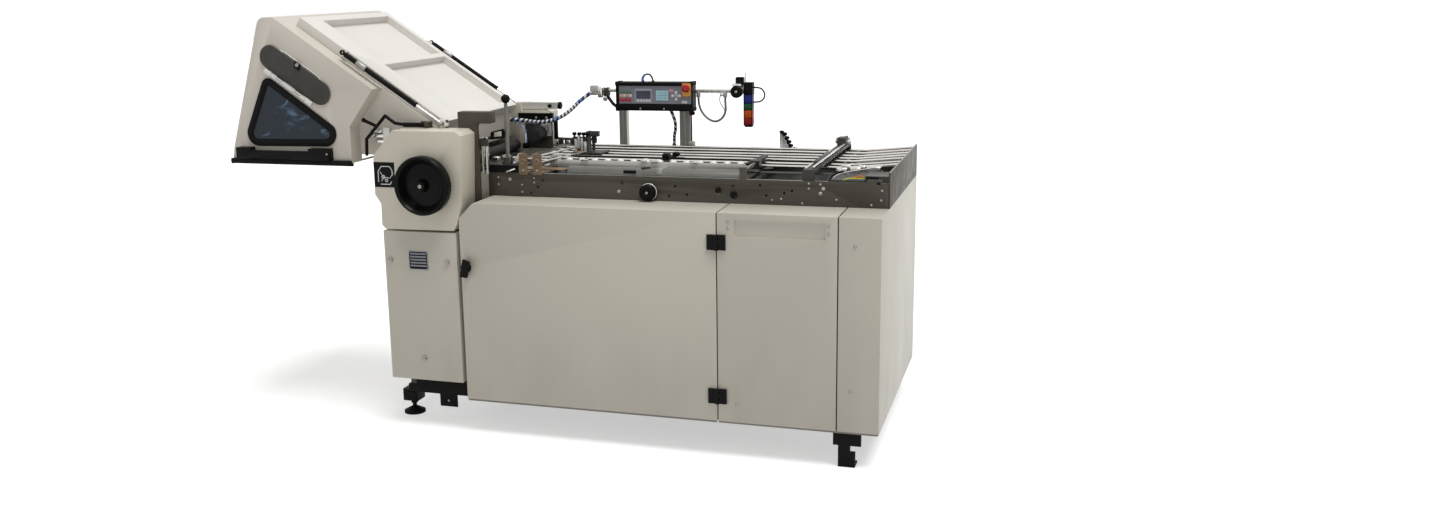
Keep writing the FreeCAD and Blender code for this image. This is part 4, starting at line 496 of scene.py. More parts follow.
def face_outwards():
    """Turns all faces of the piece that is open for editing outwards, and closes it."""
    bpy.ops.mesh.select_all(action="SELECT")
    bpy.ops.mesh.normals_make_consistent(inside=False)
    bpy.ops.object.mode_set(mode="OBJECT")


def inset_faces(piece, test, margin, depth):
    """Insets the faces that pass the test and raises or sinks what is inside."""
    only(piece)
    mesh = piece.data
    for items in (mesh.vertices, mesh.edges):
        for item in items:
            item.select = False
    for face in mesh.polygons:
        face.select = test(face)
    edit_faces(piece)
    bpy.ops.mesh.inset(thickness=margin * MM, depth=depth * MM)
    bpy.ops.object.mode_set(mode="OBJECT")


def round_edges(piece, width, segments=2):
    only(piece)
    bevel = piece.modifiers.new("round", "BEVEL")
    bevel.width = width * MM
    bevel.segments = segments
    bevel.limit_method = "ANGLE"
    bevel.angle_limit = ROUND_ANGLE
    bpy.ops.object.modifier_apply(modifier=bevel.name)
    bpy.ops.object.shade_smooth_by_angle(angle=SMOOTH_ANGLE)


OUTFITS = {}


def outfit(piece, name, finish, body, slot=None):
    """Gives the piece its name, finish and body, and notes its finish and body for its copies. The slot is
    not used.
    """
    OUTFITS[name] = (finish, body)
    piece.name = name
    piece.data.name = name
    piece.data.materials.clear()
    piece.data.materials.append(FINISHES[finish])
    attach(piece, body)
    return piece


def complete(piece, name, finish, body, edge, steps, segments=2):
    """Steps the faces, each step a direction, a margin and a depth, and rounds the edges."""
    for direction, margin, depth in steps:
        inset_faces(piece, lambda face: face.normal.dot(direction) > FACING, margin, depth)
    round_edges(piece, edge, segments)
    return outfit(piece, name, finish, body)


def second_finish(piece, finish, test):
    """Gives the faces that pass the test a finish of their own."""
    piece.data.materials.append(FINISHES[finish])
    for face in piece.data.polygons:
        if test(face):
            face.material_index = len(piece.data.materials) - 1


def cuboid(middle, size, turn=(0, 0, 0)):
    bpy.ops.mesh.primitive_cube_add(size=1, location=middle, rotation=turn)
    piece = bpy.context.object
    piece.scale = size
    settle(piece)
    return piece


def block(name, low, high, finish, edge, *steps, body="machine", segments=2):
    """Block between two workshop corners, with stepped faces and rounded edges."""
    a, b = at(*low), at(*high)
    return complete(cuboid((a + b) / 2, b - a), name, finish, body, edge, steps, segments)


def slope_block(name, s, off, y, finish, edge, *steps, body="machine"):
    """Block that lies square to the hood's slope."""
    middle = on_slope(sum(s) / 2, sum(y) / 2, sum(off) / 2)
    size = Vector((s[1] - s[0], y[1] - y[0], off[1] - off[0])) * MM
    return complete(cuboid(at(*middle), size, (0, SLOPE, 0)), name, finish, body, edge, steps)


def plate(name, outline, thickness, finish, edge, *steps, body="machine"):
    """Flat plate from an outline of workshop points, thickened by a workshop vector."""
    bpy.ops.mesh.primitive_circle_add(vertices=len(outline), fill_type="NGON")
    piece = bpy.context.object
    for vertex, point in zip(piece.data.vertices, outline):
        vertex.co = at(*point)
    edit_all(piece)
    bpy.ops.mesh.extrude_region_move(TRANSFORM_OT_translate={"value": Vector(thickness) * MM})
    face_outwards()
    settle(piece)
    return complete(piece, name, finish, body, edge, steps)


def turned(name, start, direction, profile, finish, body="machine", edge=0.5, sides=32):
    """Round piece grown along an axis by (distance, radius) steps from a workshop point."""
    axis = Vector(direction).normalized()
    base = at(*start)
    distance, radius = profile[0]
    bpy.ops.mesh.primitive_circle_add(vertices=sides, radius=radius * MM, fill_type="NGON",
                                      location=base + axis * distance * MM,
                                      rotation=axis.to_track_quat("Z", "Y").to_euler())
    piece = bpy.context.object
    settle(piece)
    edit_all(piece)
    for next_distance, next_radius in profile[1:]:
        move = axis * (next_distance - distance) * MM
        bpy.ops.mesh.extrude_region_move(TRANSFORM_OT_translate={"value": move})
        size = next_radius / radius
        bpy.ops.transform.resize(value=(size, size, size),
                                 center_override=base + axis * next_distance * MM)
        distance, radius = next_distance, next_radius
    face_outwards()
    return complete(piece, name, finish, body, edge, ())


def bar(name, start, end, radius, finish, body="machine"):
    """Round bar between two workshop points, with a turned-down tip at each end."""
    along = Vector(end) - Vector(start)
    length, tip = along.length, radius * 0.25
    profile = [(0, radius * 0.8), (tip, radius), (length - tip, radius), (length, radius * 0.8)]
    return turned(name, start, along, profile, finish, body, sides=20)


def ball(name, centre, radius, finish, body):
    """Ball with a small flat below, where its rod meets it."""
    start, sweep, steps = 0.10, 0.89, 12    # of half a turn, from the flat to almost the top
    arc = [math.pi * (start + sweep * k / steps) for k in range(steps + 1)]
    profile = [(-radius * math.cos(a), radius * math.sin(a)) for a in arc]
    return turned(name, centre, UP, profile, finish, body, 0.2, 28)


def tube(name, route, radius, rings, steps):
    """Curve with a round section through workshop points."""
    curve = bpy.data.curves.new(name, "CURVE")
    curve.dimensions = "3D"
    curve.bevel_depth = radius * MM
    curve.bevel_resolution = rings
    curve.resolution_u = steps
    curve.use_fill_caps = True
    spline = curve.splines.new("NURBS")
    spline.points.add(len(route) - 1)
    for point, place in zip(spline.points, route):
        point.co = (*at(*place), 1.0)
    spline.order_u = 3
    spline.use_endpoint_u = True
    piece = bpy.data.objects.new(name, curve)
    bpy.context.scene.collection.objects.link(piece)
    return piece


def bent_bar(name, points, radius, finish, body="machine"):
    """Thin bar or wire bent through workshop points."""
    only(tube(name, points, radius, 3, 6))
    bpy.ops.object.convert(target="MESH")
    bpy.ops.object.shade_smooth_by_angle(angle=SMOOTH_ANGLE)
    return outfit(bpy.context.object, name, finish, body)


def repeat(piece, shifts):
    """Copies of a finished piece, each with its own mesh, moved by workshop vectors."""
    for number, shift in enumerate(shifts, 2):
        only(piece)
        bpy.ops.object.duplicate(linked=False)
        copy = bpy.context.object
        copy.location = Vector(shift) * MM
        settle(copy)
        outfit(copy, "%s_%d" % (piece.name, number), *OUTFITS[piece.name])


def dress(**edges):
    """Merged copies of CAD nodes, each with its edges rounded, that stand for the nodes."""
    pieces = {}
    for name, edge in edges.items():
        piece = bpy.data.objects.new(name + "_finished", frame["nodes"][name].data.copy())
        bpy.context.scene.collection.objects.link(piece)
        edit_all(piece)
        bpy.ops.mesh.remove_doubles(threshold=MERGE_DISTANCE * MM)
        bpy.ops.mesh.dissolve_limited(angle_limit=FLAT_ANGLE)
        bpy.ops.object.mode_set(mode="OBJECT")
        if edge:
            round_edges(piece, edge)
        outfit(piece, name + "_finished", NODE_FINISH[name], NODE_BODY[name], NODE_SLOT[name])
        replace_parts(piece, name)
        pieces[name] = piece
    return pieces


# ---- Cords ----

# Cords that stand for a node: diameter, length, finish, slot, body, route.
CORDS = {
    "harness": (16.0, 0.384, "harness", "cable_white", "machine", [
        (-120, 744, 1056), (-72, 744, 1056), (-14, 745, 1046), (46, 752, 1050), (92, 778, 1068),
        (122, 816, 1096), (146, 852, 1130), (186, 872, 1158)]),
    "braided_lead": (13.0, 0.209, "braided_lead", "cable_white", "machine", [
        (508, 880, 1141), (508, 880, 1108), (522, 883, 1074), (532, 889, 1042), (529, 902, 1010),
        (518, 920, 984), (515, 926, 964), (515, 926, 946)]),
    "grey_loop": (9.0, 0.247, "grey_cable", "cable_grey", "machine", [
        (632, 880, 1141), (632, 880, 1117), (643, 880, 1084), (667, 880, 1056), (701, 880, 1042),
        (730, 880, 1058), (744, 880, 1088), (741, 880, 1118), (741, 880, 1141)]),
    "tower_lead": (6.0, 0.120, "black_cable", "cable_black", "machine", [
        (855, 880, 1180), (873, 880, 1180), (890, 880, 1174), (900, 880, 1157), (898, 880, 1139),
        (885, 880, 1126), (868, 880, 1123), (855, 880, 1123)]),
}

# Small leads between fittings, with no node of their own, in the same terms.
LEADS = {
    "harness_branch": (10.0, 0.112, "white_ball", "cable_white", "machine", [
        (-88, 744, 1050), (-84, 744, 1036), (-62, 738, 1024), (-46, 726, 1006), (-42, 716, 986),
        (-42, 712, 962)]),
    "panel_lead_loop": (6.8, 0.088, "black_cable", "cable_black", "panel", [
        (416, 840, 1200), (414, 840, 1214), (424, 840, 1232), (444, 840, 1234), (456, 840, 1218),
        (458, 840, 1200)]),
    "rail_plug_lead": (4.4, 0.076, "bright_steel", "cable_grey", "machine", [
        (726, 868, 1150), (720, 868, 1138), (724, 870, 1116), (738, 876, 1096), (742, 880, 1080)]),
    "yellow_wire": (4.0, 0.085, "yellow_wire", "cable_grey", "machine", [
        (1318, 187, 931), (1334, 200, 940), (1366, 204, 940), (1398, 204, 938)]),
    "orange_wire": (5.2, 0.047, "orange_wire", "cable_grey", "machine", [
        (1352, 222, 938), (1364, 226, 943), (1378, 222, 944), (1398, 224, 942)]),
    "silver_wire": (4.4, 0.284, "bright_steel", "cable_grey", "machine", [
        (1280, 187, 931), (1292, 226, 946), (1330, 268, 952), (1386, 330, 954), (1424, 420, 949)]),
}


def add_cord(name, diameter, length, finish, slot, body, route):
    cable = tube(name, route, diameter / 2, 4, 12)
    cable.data.materials.append(FINISHES[finish])
    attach(cable, body)
    return cable


def add_cords():
    for name, facts in CORDS.items():
        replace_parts(add_cord(name + "_cable", *facts), name)
    for name, facts in LEADS.items():
        add_cord(name, *facts)


# ---- Cabinet and base ----

THIN_FACE = 0.0003    # square metres: a rim's faces are smaller, the nameplate's middle is larger


def make_cabinet():
    dress(main_door=1.6, middle_panel=1.6, corner_cover=1.6, rear_panel=0.8, lower_cover=1.6,
          base_frame=0.8, hook_stands=0.8, door_hinge_blocks=2, door_hinge_leaves=2, door_latch=1.2)
    # Dark strips along the bottom edges of the door and panels: painted shade under their lips.
    for name, x0, x1, body in (("door_bottom_painted_shade", 2, 934, "door"),
                               ("panel_bottom_painted_shade", 940, 1479, "machine")):
        block(name, (x0, 0.8, 119), (x1, 7.2, 126), "dark_paint_and_painted_shade", 1.2, (FRONT, 1.2, -0.3), body=body)
    block("end_bottom_painted_shade", (1473, 8, 119), (1480.2, 930, 126), "dark_paint_and_painted_shade", 1.2, (RIGHT, 1.2, -0.3))
    # Black strips in two of the gaps between the door and panels: painted shade of the gaps.
    for name, x in (("hinge_side_gap_shade", 936.6), ("corner_gap_shade", 1340.6)):
        block(name, (x, 5, 128), (x + 2.8, 14, 842), "rubber", 0.6, (FRONT, 0.6, -0.4))
    nameplate = block("blank_nameplate", (-207, -1.4, 596), (-129, 0, 666), "black_plastic", 0.3,
                      (FRONT, 3, 0), (FRONT, 1.4, -0.2))
    second_finish(nameplate, "bezel", lambda face: face.normal.y < -SQUARE and face.area < THIN_FACE)
    field = block("nameplate_field", (-200, -1.8, 652), (-136, -1, 658), "overlay", 0.2, (FRONT, 0.8, -0.1))
    repeat(field, [(0, 0, -11), (0, 0, -22), (0, 0, -33), (0, 0, -44)])
    rivet = turned("nameplate_rivet", (-202, -1.2, 601), FRONT, [(0, 1.6), (0.6, 1.6), (1.1, 0.9)], "zinc",
                   edge=0.15, sides=12)
    repeat(rivet, [(68, 0, 0), (0, 0, 60), (68, 0, 60)])
    turned("base_tab_screw", (-134, 108.5, 71.5), FRONT,
           [(0, 5), (2.4, 5), (3.6, 3.8), (3.6, 2.2), (2.2, 1.8)], "zinc", sides=6)
    block("foot_block_cap", (-326, 117.6, 58), (-278, 120.4, 89), "black_plastic", 0.8, (FRONT, 4, -0.8))


# ---- Fold unit, wheel and levers ----

WHEEL = (-112.0, 910.0)
THROW_LEVER = (86, 250)
STROKE_FACE = -1.7


def stroke(name, points, width):
    """Thin raised line on the fold diagram's plate."""
    for number, ((x0, z0), (x1, z1)) in enumerate(zip(points, points[1:]), 1):
        along = Vector((x1 - x0, 0, z1 - z0)).normalized()
        side = Vector((-along.z, 0, along.x)) * (width / 2)
        corners = [(x + sign * side.x, STROKE_FACE, z + sign * side.z)
                   for x, z, sign in ((x0, z0, 1), (x1, z1, 1), (x1, z1, -1), (x0, z0, -1))]
        plate("%s_%d" % (name, number), corners, (0, 0.6, 0), "white_key", 0.1)


def make_fold_unit():
    dress(wheel_casing=3, rear_casing=2, fold_plate_front=1.2, fold_plate_rear=1)
    block("fold_diagram_plate", (-325, -1.2, 893), (-243, 0, 983), "black_plastic", 0.3, (FRONT, 2.5, 0.3))
    stroke("diagram_outline",
           [(-308, 912), (-308, 950), (-294, 968), (-262, 968), (-252, 955), (-252, 935)], 2.6)
    stroke("diagram_base", [(-300, 904), (-262, 904), (-256, 914)], 2.6)
    stroke("diagram_path", [(-300, 948), (-288, 930), (-262, 926), (-248, 946)], 2)
    stroke("diagram_sheet", [(-288, 930), (-296, 914)], 2)
    for x, z, radius in ((-288, 930, 7), (-276, 918, 6)):
        turned("diagram_roller_%d" % -x, (x, -1.1, z), FRONT,
               [(0, radius), (0.6, radius), (0.6, radius - 2.2), (0.3, radius - 2.6)], "white_key",
               edge=0.1, sides=24)
    x, z = WHEEL
    turned("wheel_hub_boss", (x, -40, z), FRONT,
           [(0, 24), (12, 20), (22, 17), (24.5, 14), (24.5, 10), (22, 9)], "wheel", "wheel_shaft", 0.8, 40)
    turned("wheel_hub_screw", (x, -61, z), FRONT, [(0, 7), (4.4, 7), (5.6, 5.6), (5.6, 3.4), (3.2, 3)],
           "zinc", "wheel_shaft", 0.4, 24)
    turned("wheel_thumb_dish", (x + 44, -33.5, z - 2), FRONT,
           [(-6, 19), (0.6, 19), (1.4, 17), (0.2, 13), (-1.6, 6)], "wheel", "wheel_shaft", 0.5, 32)
    turned("throw_lever_rod", (*THROW_LEVER, 962), UP,
           [(-9, 8), (-9, 11), (8, 11), (12, 7.2), (150, 7.2), (151, 6.6), (206, 6.6), (210, 5)],
           "dark_paint_and_painted_shade", "lever", 0.5, 24)
    knob = ball("throw_lever_ball", (*THROW_LEVER, 1188), 16.5, "knob", "lever")
    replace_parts(knob, "throw_lever")
    for side, y in (("near", 236), ("far", 258)):
        block("throw_lever_cheek_" + side, (74, y, 946), (98, y + 6, 975), "dark_steel", 1.5,
              (FRONT, 5, -0.8))
    bar("bent_lever_rod", (-407, 90, 1121), (-350, 90, 1098), 6.2, "black", "clamp_lever")
    bar("bent_lever_tip", (-412, 90, 1123), (-402, 90, 1119), 8, "black_plastic", "clamp_lever")
    guides = (((-398, 118, 1073), (-352, 128, 1083)), ((-388, 116, 1056), (-340, 128, 1068)),
              ((-378, 116, 1036), (-332, 126, 1048)))
    for number, (low, high) in enumerate(guides, 1):
        block("casing_guide_%d" % number, low, high, "bright_steel", 2, (FRONT, 3, 1.2), (UP, 3, 1))
    block("casing_guide_foot", (-345, 112, 1028), (-318, 124, 1092), "satin_bar", 1.6, (FRONT, 5, -1.5))


def make_rear_of_fold_unit():
    block("rear_beam", (-158, 790, 1096), (66, 822, 1123), "satin_bar", 2.5, (FRONT, 3.5, -0.8),
          (UP, 4, 0.6))
    turned("rear_beam_cap", (66, 806, 1109), RIGHT, [(0, 13), (3, 15), (10, 15), (13, 11)], "black_plastic",
           edge=1)
    turned("rear_beam_knob", (35, 790, 1109), FRONT, [(0, 5), (3, 5), (3, 8), (9, 8), (11, 6)],
           "black_plastic", edge=0.6)
    block("rear_housing", (-99, 772, 1044), (51, 788, 1081), "black_plastic", 2, (FRONT, 5, -1.5))
    screw = turned("rear_housing_screw", (-20, 772, 1062), FRONT, [(0, 5), (2.5, 5), (3.6, 3.4)], "zinc")
    repeat(screw, [(45, 0, 0)])
    block("rear_cover", (-62, 769, 940), (50, 774, 1044), "column", 1.2, (FRONT, 6, -0.8))
    block("rear_connector", (0, 764, 990), (46, 788, 1040), "satin_bar", 1.6, (FRONT, 4, 1.5),
          (FRONT, 5, -1.5))
    block("rear_black_bar", (50, 784, 975), (64, 800, 1060), "black_plastic", 2, (FRONT, 3, -1))
    for number, x in enumerate((8, 20, 32), 1):
        block("rear_connector_pin_%d" % number, (x, 760, 1004), (x + 5, 766, 1030), "zinc", 0.5,
              (FRONT, 1.2, 0.6))
    block("motor_terminal_box", (-46, 716, 1020), (-4, 768, 1046), "motor", 2, (UP, 4, 1.5), (FRONT, 4, -1))
    bent_bar("harness_branch_stripe",
             [(-83, 739, 1050), (-79, 739, 1036), (-57, 733, 1024), (-41, 721, 1006), (-37, 711, 986),
              (-37, 707, 962)], 1.8, "blue_wire")
    block("harness_branch_plug", (-52, 700, 946), (-30, 722, 966), "black_plastic", 1.5, (UP, 4, 2))


# ---- Sheet table ----

BALL_RADIUS = 9.0
BALL_LINE = 370.0
BALL_PITCH = 50.0
BALL_COUNT = 14
RULER_DARK_FROM = 984    # past the last ball the ruler's end is dark
GUIDE_SHEET_CURVE = ((324, 940), (314, 939), (303, 935.5), (295, 930), (290, 923), (288, 915))


def make_table():
    pieces = dress(side_frame_front=0.8, side_frame_rear=0.8, end_plate=1, cross_beam=1,
                   cross_carriage=1.5, sensor_carriage=1.2, ball_ruler=0.8)
    # Faces that look up on the side frame, end plate and ruler get a tone of their own: painted light on
    # their tops.
    for name in ("side_frame_front", "end_plate", "ball_ruler"):
        second_finish(pieces[name], "painted_top_light", lambda face: face.normal.z > SQUARE)
    second_finish(pieces["ball_ruler"], "dark_steel",
                  lambda face: face.center.x > at(RULER_DARK_FROM, 0, 0).x)
    outline = [(300, y, z) for y, z in GUIDE_SHEET_CURVE]
    outline += [(300, y, z - 2) for y, z in reversed(GUIDE_SHEET_CURVE)]
    plate("guide_sheet", outline, (668, 0, 0), "sheet_steel", 0.3)
    block("guide_sheet_ledge", (110, 262, 929.5), (299, 322, 932.5), "tan_bracket", 0.6, (UP, 2, 0.2))
    block("table_tray", (104, 190, 868), (1300, 924, 871), "black", 0.6, (UP, 6, -0.5))
    block("guide_sheet_strut_left", (130, 190, 924), (160, 266, 930), "dark_steel", 1, (UP, 4, 0.8))
    block("guide_sheet_strut_right", (968, 188, 924), (998, 322, 930), "dark_steel", 1, (UP, 4, 0.8))
    block("feed_plate", (40, 184, 930), (108, 420, 938), "dark_steel", 1.2, (UP, 5, 1))
    first_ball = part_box("ruler_balls")[0][0] * 1000 + ROW_ORIGIN.x + BALL_RADIUS
    seat = turned("ball_seat", (first_ball, BALL_LINE, 941), UP,
                  [(0, 11), (0, 13), (13, 13), (16, 12), (19, 9.5), (21, 6)],
                  "white_ball", "ruler", 0.8, 24)
    repeat(seat, [(BALL_PITCH * step, 0, 0) for step in range(1, BALL_COUNT)])
    make_register_unit()
    make_aligning_unit()
    make_table_clamps()
    make_feed_end()
    make_lay_knob()


def make_lay_knob():
    place = (650, 150, 877)
    turned("lay_knob_grip", place, FRONT,
           [(-20, 27.5), (-20, 29), (-2, 29), (3.5, 26), (3.5, 14), (1.5, 11)], "knob", "knob", 1, 40)
    cap = turned("lay_knob_screw", place, FRONT, [(0, 5), (4.4, 5), (5.4, 3.6), (5.4, 2.4), (3.6, 2)],
                 "zinc", "knob", 0.4)
    ring = turned("lay_knob_ring", (650, 176, 877), FRONT, [(0, 24), (0, 30), (1.5, 31), (6, 31), (7, 29)],
                  "bright_steel", "knob", 0.6, 48)
    turned("lay_knob_shaft", (650, 181, 877), FRONT, [(0, 9), (5, 9), (6, 8)], "bright_steel", "knob")
    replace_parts(ring, "lay_knob")
    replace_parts(cap, "lay_knob")


def make_register_unit():
    block("sensor_strip", (34, 178, 930), (155, 190, 957), "black_plastic", 2, (FRONT, 4, -1.5))
    plate("silver_lever", [(112, 172, 936), (146, 172, 948), (148, 172, 943), (114, 172, 931)], (0, 5, 0),
          "bright_steel", 0.6)
    bar("silver_lever_pin", (116, 182, 934), (116, 168, 934), 4, "zinc")
    for number, (x0, x1) in enumerate(((164, 197), (216, 252)), 1):
        block("register_bracket_%d" % number, (x0, 170, 925), (x1, 174, 1000), "tan_bracket", 1.2,
              (FRONT, 5, -1))
        block("register_bracket_side_%d" % number, (x0, 170, 930), (x0 + 4, 218, 1000), "tan_bracket",
              1, (RIGHT, 6, -1))
        block("register_bracket_foot_%d" % number, (x0, 170, 930), (x1, 218, 935), "tan_bracket", 1,
              (UP, 4, 0.6))
        turned("register_dial_%d" % number, ((x0 + x1) / 2, 170, 972), FRONT,
               [(0, 13), (4, 13), (6, 11), (6, 7), (3, 5)], "tan_bracket", edge=0.6)
        turned("register_screw_%d" % number, ((x0 + x1) / 2, 170, 941), FRONT, [(0, 5), (3, 5), (4, 3)],
               "zinc", edge=0.4)
    bar("register_rod_1", (206, 188, 984), (262, 508, 984), 4, "bright_steel")
    bar("register_rod_2", (236, 188, 968), (296, 500, 968), 3, "bright_steel")
    plate("sensor_bracket",
          [(44, 190, 1046), (50, 190, 1074), (97, 190, 1086), (104, 190, 1074), (100, 190, 1052)],
          (0, 14, 0), "black_plastic", 1.5, (FRONT, 3, -1))
    plate("sensor_bracket_window", [(62, 189, 1056), (64, 189, 1072), (92, 189, 1078), (92, 189, 1060)],
          (0, 2, 0), "casing", 0.4)
    for number, x in enumerate((40, 56), 1):
        block("guide_bar_%d" % number, (x, 128, 931), (x + 7, 142, 1062), "bright_steel", 1.2,
              (FRONT, 1.6, -0.6))
    block("guide_bar_bracket", (10, 126, 1030), (68, 130, 1056), "dark_steel", 0.8, (FRONT, 4, 0.5))
    plate("sensor_bracket_arm", [(34, 126, 1056), (60, 126, 1060), (60, 198, 1062), (40, 198, 1058)],
          (0, 0, -8), "black_plastic", 1)
    lumps = ((-30, 440, 938, 34, 22, 15), (16, 424, 938, 30, 26, 12), (58, 372, 938, 32, 18, 17),
             (24, 330, 938, 22, 30, 13), (66, 300, 938, 26, 22, 10), (-34, 372, 936, 24, 24, 20),
             (96, 404, 938, 22, 20, 12))
    for number, (x, y, z, w, d, h) in enumerate(lumps, 1):
        block("register_cam_%d" % number, (x, y, z - 6), (x + w, y + d, z + h), "bright_steel", 2,
              (UP, 3, 1.8), (FRONT, 3, 0.8))
    for number, (x, y) in enumerate(((48, 448), (10, 400), (84, 344)), 1):
        turned("register_wheel_%d" % number, (x, y, 952), (0.2, -1, 0), [(0, 9), (0, 12), (7, 12), (7, 9)],
               "white_ball", edge=0.8)
    block("register_base", (-44, 296, 930), (120, 470, 936), "dark_steel", 1, (UP, 6, 1))


def make_aligning_unit():
    body = "sensor_slide"
    block("aligning_bridge", (216, 587, 953), (267, 603, 974), "dark_steel", 1.5, (FRONT, 4, -1.5),
          (UP, 3, 1), body=body)
    for number, (x, z) in enumerate(((218, 1004), (230, 1018), (243, 1008), (256, 994)), 1):
        block("aligning_link_%d" % number, (x, 581, z - 52), (x + 9, 593, z), "satin_bar", 1.5,
              (FRONT, 2, 0.8), body=body)
    block("aligning_crosshead", (210, 581, 996), (268, 597, 1012), "dark_steel", 1.5, (FRONT, 3, -1),
          body=body)
    for number, x in enumerate((216, 236, 254, 268), 1):
        turned("aligning_knob_%d" % number, (x, 589, 1018), UP,
               [(-8, 4), (0, 4), (0, 8), (7, 8.5), (11, 7)], "black_plastic", body, 0.6)
    block("aligning_back_plate", (268, 641, 953), (273, 664, 1024), "black_plastic", 1, (RIGHT, 5, -1),
          body=body)
    block("aligning_shoe", (216, 566, 947.4), (248, 587, 957), "tan_bracket", 1.5, (UP, 4, 1),
          (FRONT, 3, 0.6), body=body)
    for number, (x, y, w) in enumerate(((112, 846, 56), (60, 870, 44), (8, 886, 38)), 1):
        block("olive_clamp_%d" % number, (x, y, 944), (x + w, y + 14, 968), "dark_steel", 2, (UP, 3, 1.5),
              (FRONT, 3, 1))
        block("silver_clamp_%d" % number, (x + 10, y - 12, 944), (x + w - 14, y, 960), "bright_steel", 2,
              (UP, 3, 1.5))
    block("rear_clamp_plate", (0, 842, 940), (176, 902, 944), "dark_steel", 0.8, (UP, 5, -0.6))
    bar("far_cross_bar", (-20, 904, 962), (190, 904, 962), 5.5, "dark_steel")
    bar("far_thin_rod", (-62, 800, 1123), (34, 880, 1046), 3, "black")


def make_table_clamps():
    pad = ((953, 360), (958, 330), (966, 322), (976, 330), (984, 372), (992, 470), (993, 530), (986, 560),
           (976, 566), (966, 552), (957, 470))
    plate("clamp_pad", [(x, y, 962) for x, y in pad], (0, 0, -7), "black_plastic", 1.6, (UP, 3, 1),
          body="ruler")
    turned("clamp_pad_screw", (970, 420, 962), UP, [(0, 7), (4, 7), (5, 5), (5, 3), (2, 2.6)], "zinc",
           "ruler", sides=6)
    plate("clamp_tongue",
          [(1020, 310, 948), (1040, 304, 948), (1058, 320, 948), (1052, 344, 948), (1030, 350, 948)],
          (0, 0, -6), "black_plastic", 1.2, body="ruler")
    bar("clamp_tongue_stem", (998, 357, 944), (1032, 338, 944), 3.5, "black", "ruler")
    shoe = ((604, 455), (622, 452), (632, 500), (640, 548), (624, 556), (606, 546), (612, 510))
    plate("sheet_guide_shoe", [(x, y, 954) for x, y in shoe], (0, 0, -7), "black_plastic", 1.5,
          (UP, 2.5, 1))
    block("sheet_guide_post", (606, 470, 950), (632, 500, 968), "black_plastic", 2.5, (UP, 4, 2),
          (FRONT, 3, 0.8))
    block("sheet_guide_head", (626, 534, 951), (652, 558, 965), "black_plastic", 3, (UP, 4, 2))
    block("guard_clip", (546, 206, 934), (590, 222, 944), "black_plastic", 1.5, (UP, 3, 1))
    plate("guard_lever", [(600, 236, 952), (634, 236, 956), (640, 236, 950), (606, 236, 944)], (0, 8, 0),
          "dark_steel", 0.8)
    block("ruler_clamp", (566, 340, 955), (584, 384, 963), "satin_bar", 1.5, (UP, 3, 1.2), body="ruler")
    for number, x in enumerate((334, 602, 752), 1):
        block("ruler_bridge_%d" % number, (x, 344, 955), (x + 26, 357, 960), "bright_steel", 1.2,
              (UP, 2.5, 0.8), body="ruler")


def make_feed_end():
    block("stepped_post", (955, 896, 930), (969, 908, 1004), "satin_bar", 1.2, (FRONT, 3, -1))
    connector = turned("stepped_connector", (969, 900, 996), (1, 0, 0.25),
                       [(-3, 6), (0, 9), (7, 9), (7, 6), (13, 6), (15, 4)], "black_plastic", edge=0.6)
    repeat(connector, [(9, 0, -15), (17, 0, -30), (24, 0, -45), (40, 0, -58)])
    turned("stepped_collar", (962, 900, 1004), UP, [(-6, 5), (0, 5), (0, 9), (5, 9), (7, 6)],
           "black_plastic", edge=0.6)
    plate("stepped_web", [(969, 902, 990), (1004, 902, 936), (969, 902, 936)], (0, 4, 0), "satin_bar", 0.6)
    block("stepped_foot", (950, 884, 930), (1020, 930, 936), "satin_bar", 1, (UP, 3, 0.8))
    fittings = (((1178, 872, 968), (1202, 898, 990), "bright_steel"),
                ((1200, 862, 966), (1238, 884, 980), "satin_bar"),
                ((1194, 884, 976), (1232, 900, 994), "bright_steel"),
                ((1214, 868, 980), (1226, 892, 996), "tan_bracket"))
    for number, (low, high, finish) in enumerate(fittings, 1):
        block("corner_fitting_%d" % number, low, high, finish, 2, (UP, 3, 1.5), (FRONT, 3, 1),
              body="cross_slide")
    plate("carriage_scale", [(1192, 200, 969), (1199, 200, 969), (1199, 800, 969), (1192, 800, 969)],
          (0, 0, 1.6), "satin_bar", 0.4, body="cross_slide")
    bar("carriage_rod", (1222, 205, 974), (1222, 806, 974), 4, "bright_steel", "cross_slide")
    block("feed_end_box", (1396, 188, 930), (1475, 300, 951), "dark_steel", 2, (FRONT, 4, -1.5),
          (UP, 6, -1.5))
    block("feed_end_switch", (1402, 186, 930), (1440, 197, 948), "black_plastic", 1.5, (FRONT, 4, 1.2))
    bent_bar("black_lever", [(1278, 186, 930), (1284, 198, 946), (1302, 212, 957), (1318, 226, 958)], 4,
             "black")
    block("feed_end_bridge", (1274, 184, 931), (1424, 427, 936), "dark_steel", 1, (UP, 8, -1))
    forks = ((1276, 330, 36, 22), (1320, 352, 36, 26), (1372, 380, 48, 20), (1282, 404, 30, 18),
             (1340, 398, 26, 20))
    for number, (x, y, w, d) in enumerate(forks, 1):
        block("feed_roller_fork_%d" % number, (x, y, 934), (x + w, y + d, 953), "bright_steel", 1.6,
              (UP, 3, 1.4), (FRONT, 2.5, 0.8))
    # Flush black discs where the frame has holes: painted shade of the holes.
    plug = turned("frame_hole_shade", (744, 180.4, 899), FRONT, [(0, 4.4), (0.6, 4.4), (1, 3.6)], "black_plastic",
                  edge=0.15, sides=20)
    repeat(plug, [(42, 0, -28), (-22, 0, -34), (300, 0, 12), (322, 0, -22), (384, 0, -12), (410, 0, -4),
                  (-514, 0, -18), (-540, 0, -40)])
    hole = turned("frame_hole_bush", (896, 180.6, 892), FRONT, [(-2, 12), (0, 12), (0.8, 10.5), (0.2, 8)],
                  "knob", edge=0.2)
    repeat(hole, [(56, 0, -12)])
    turned("frame_screw", (1086, 180.4, 862), FRONT, [(0, 3.4), (1.4, 3.4), (2, 2.4)], "zinc", edge=0.2,
           sides=16)


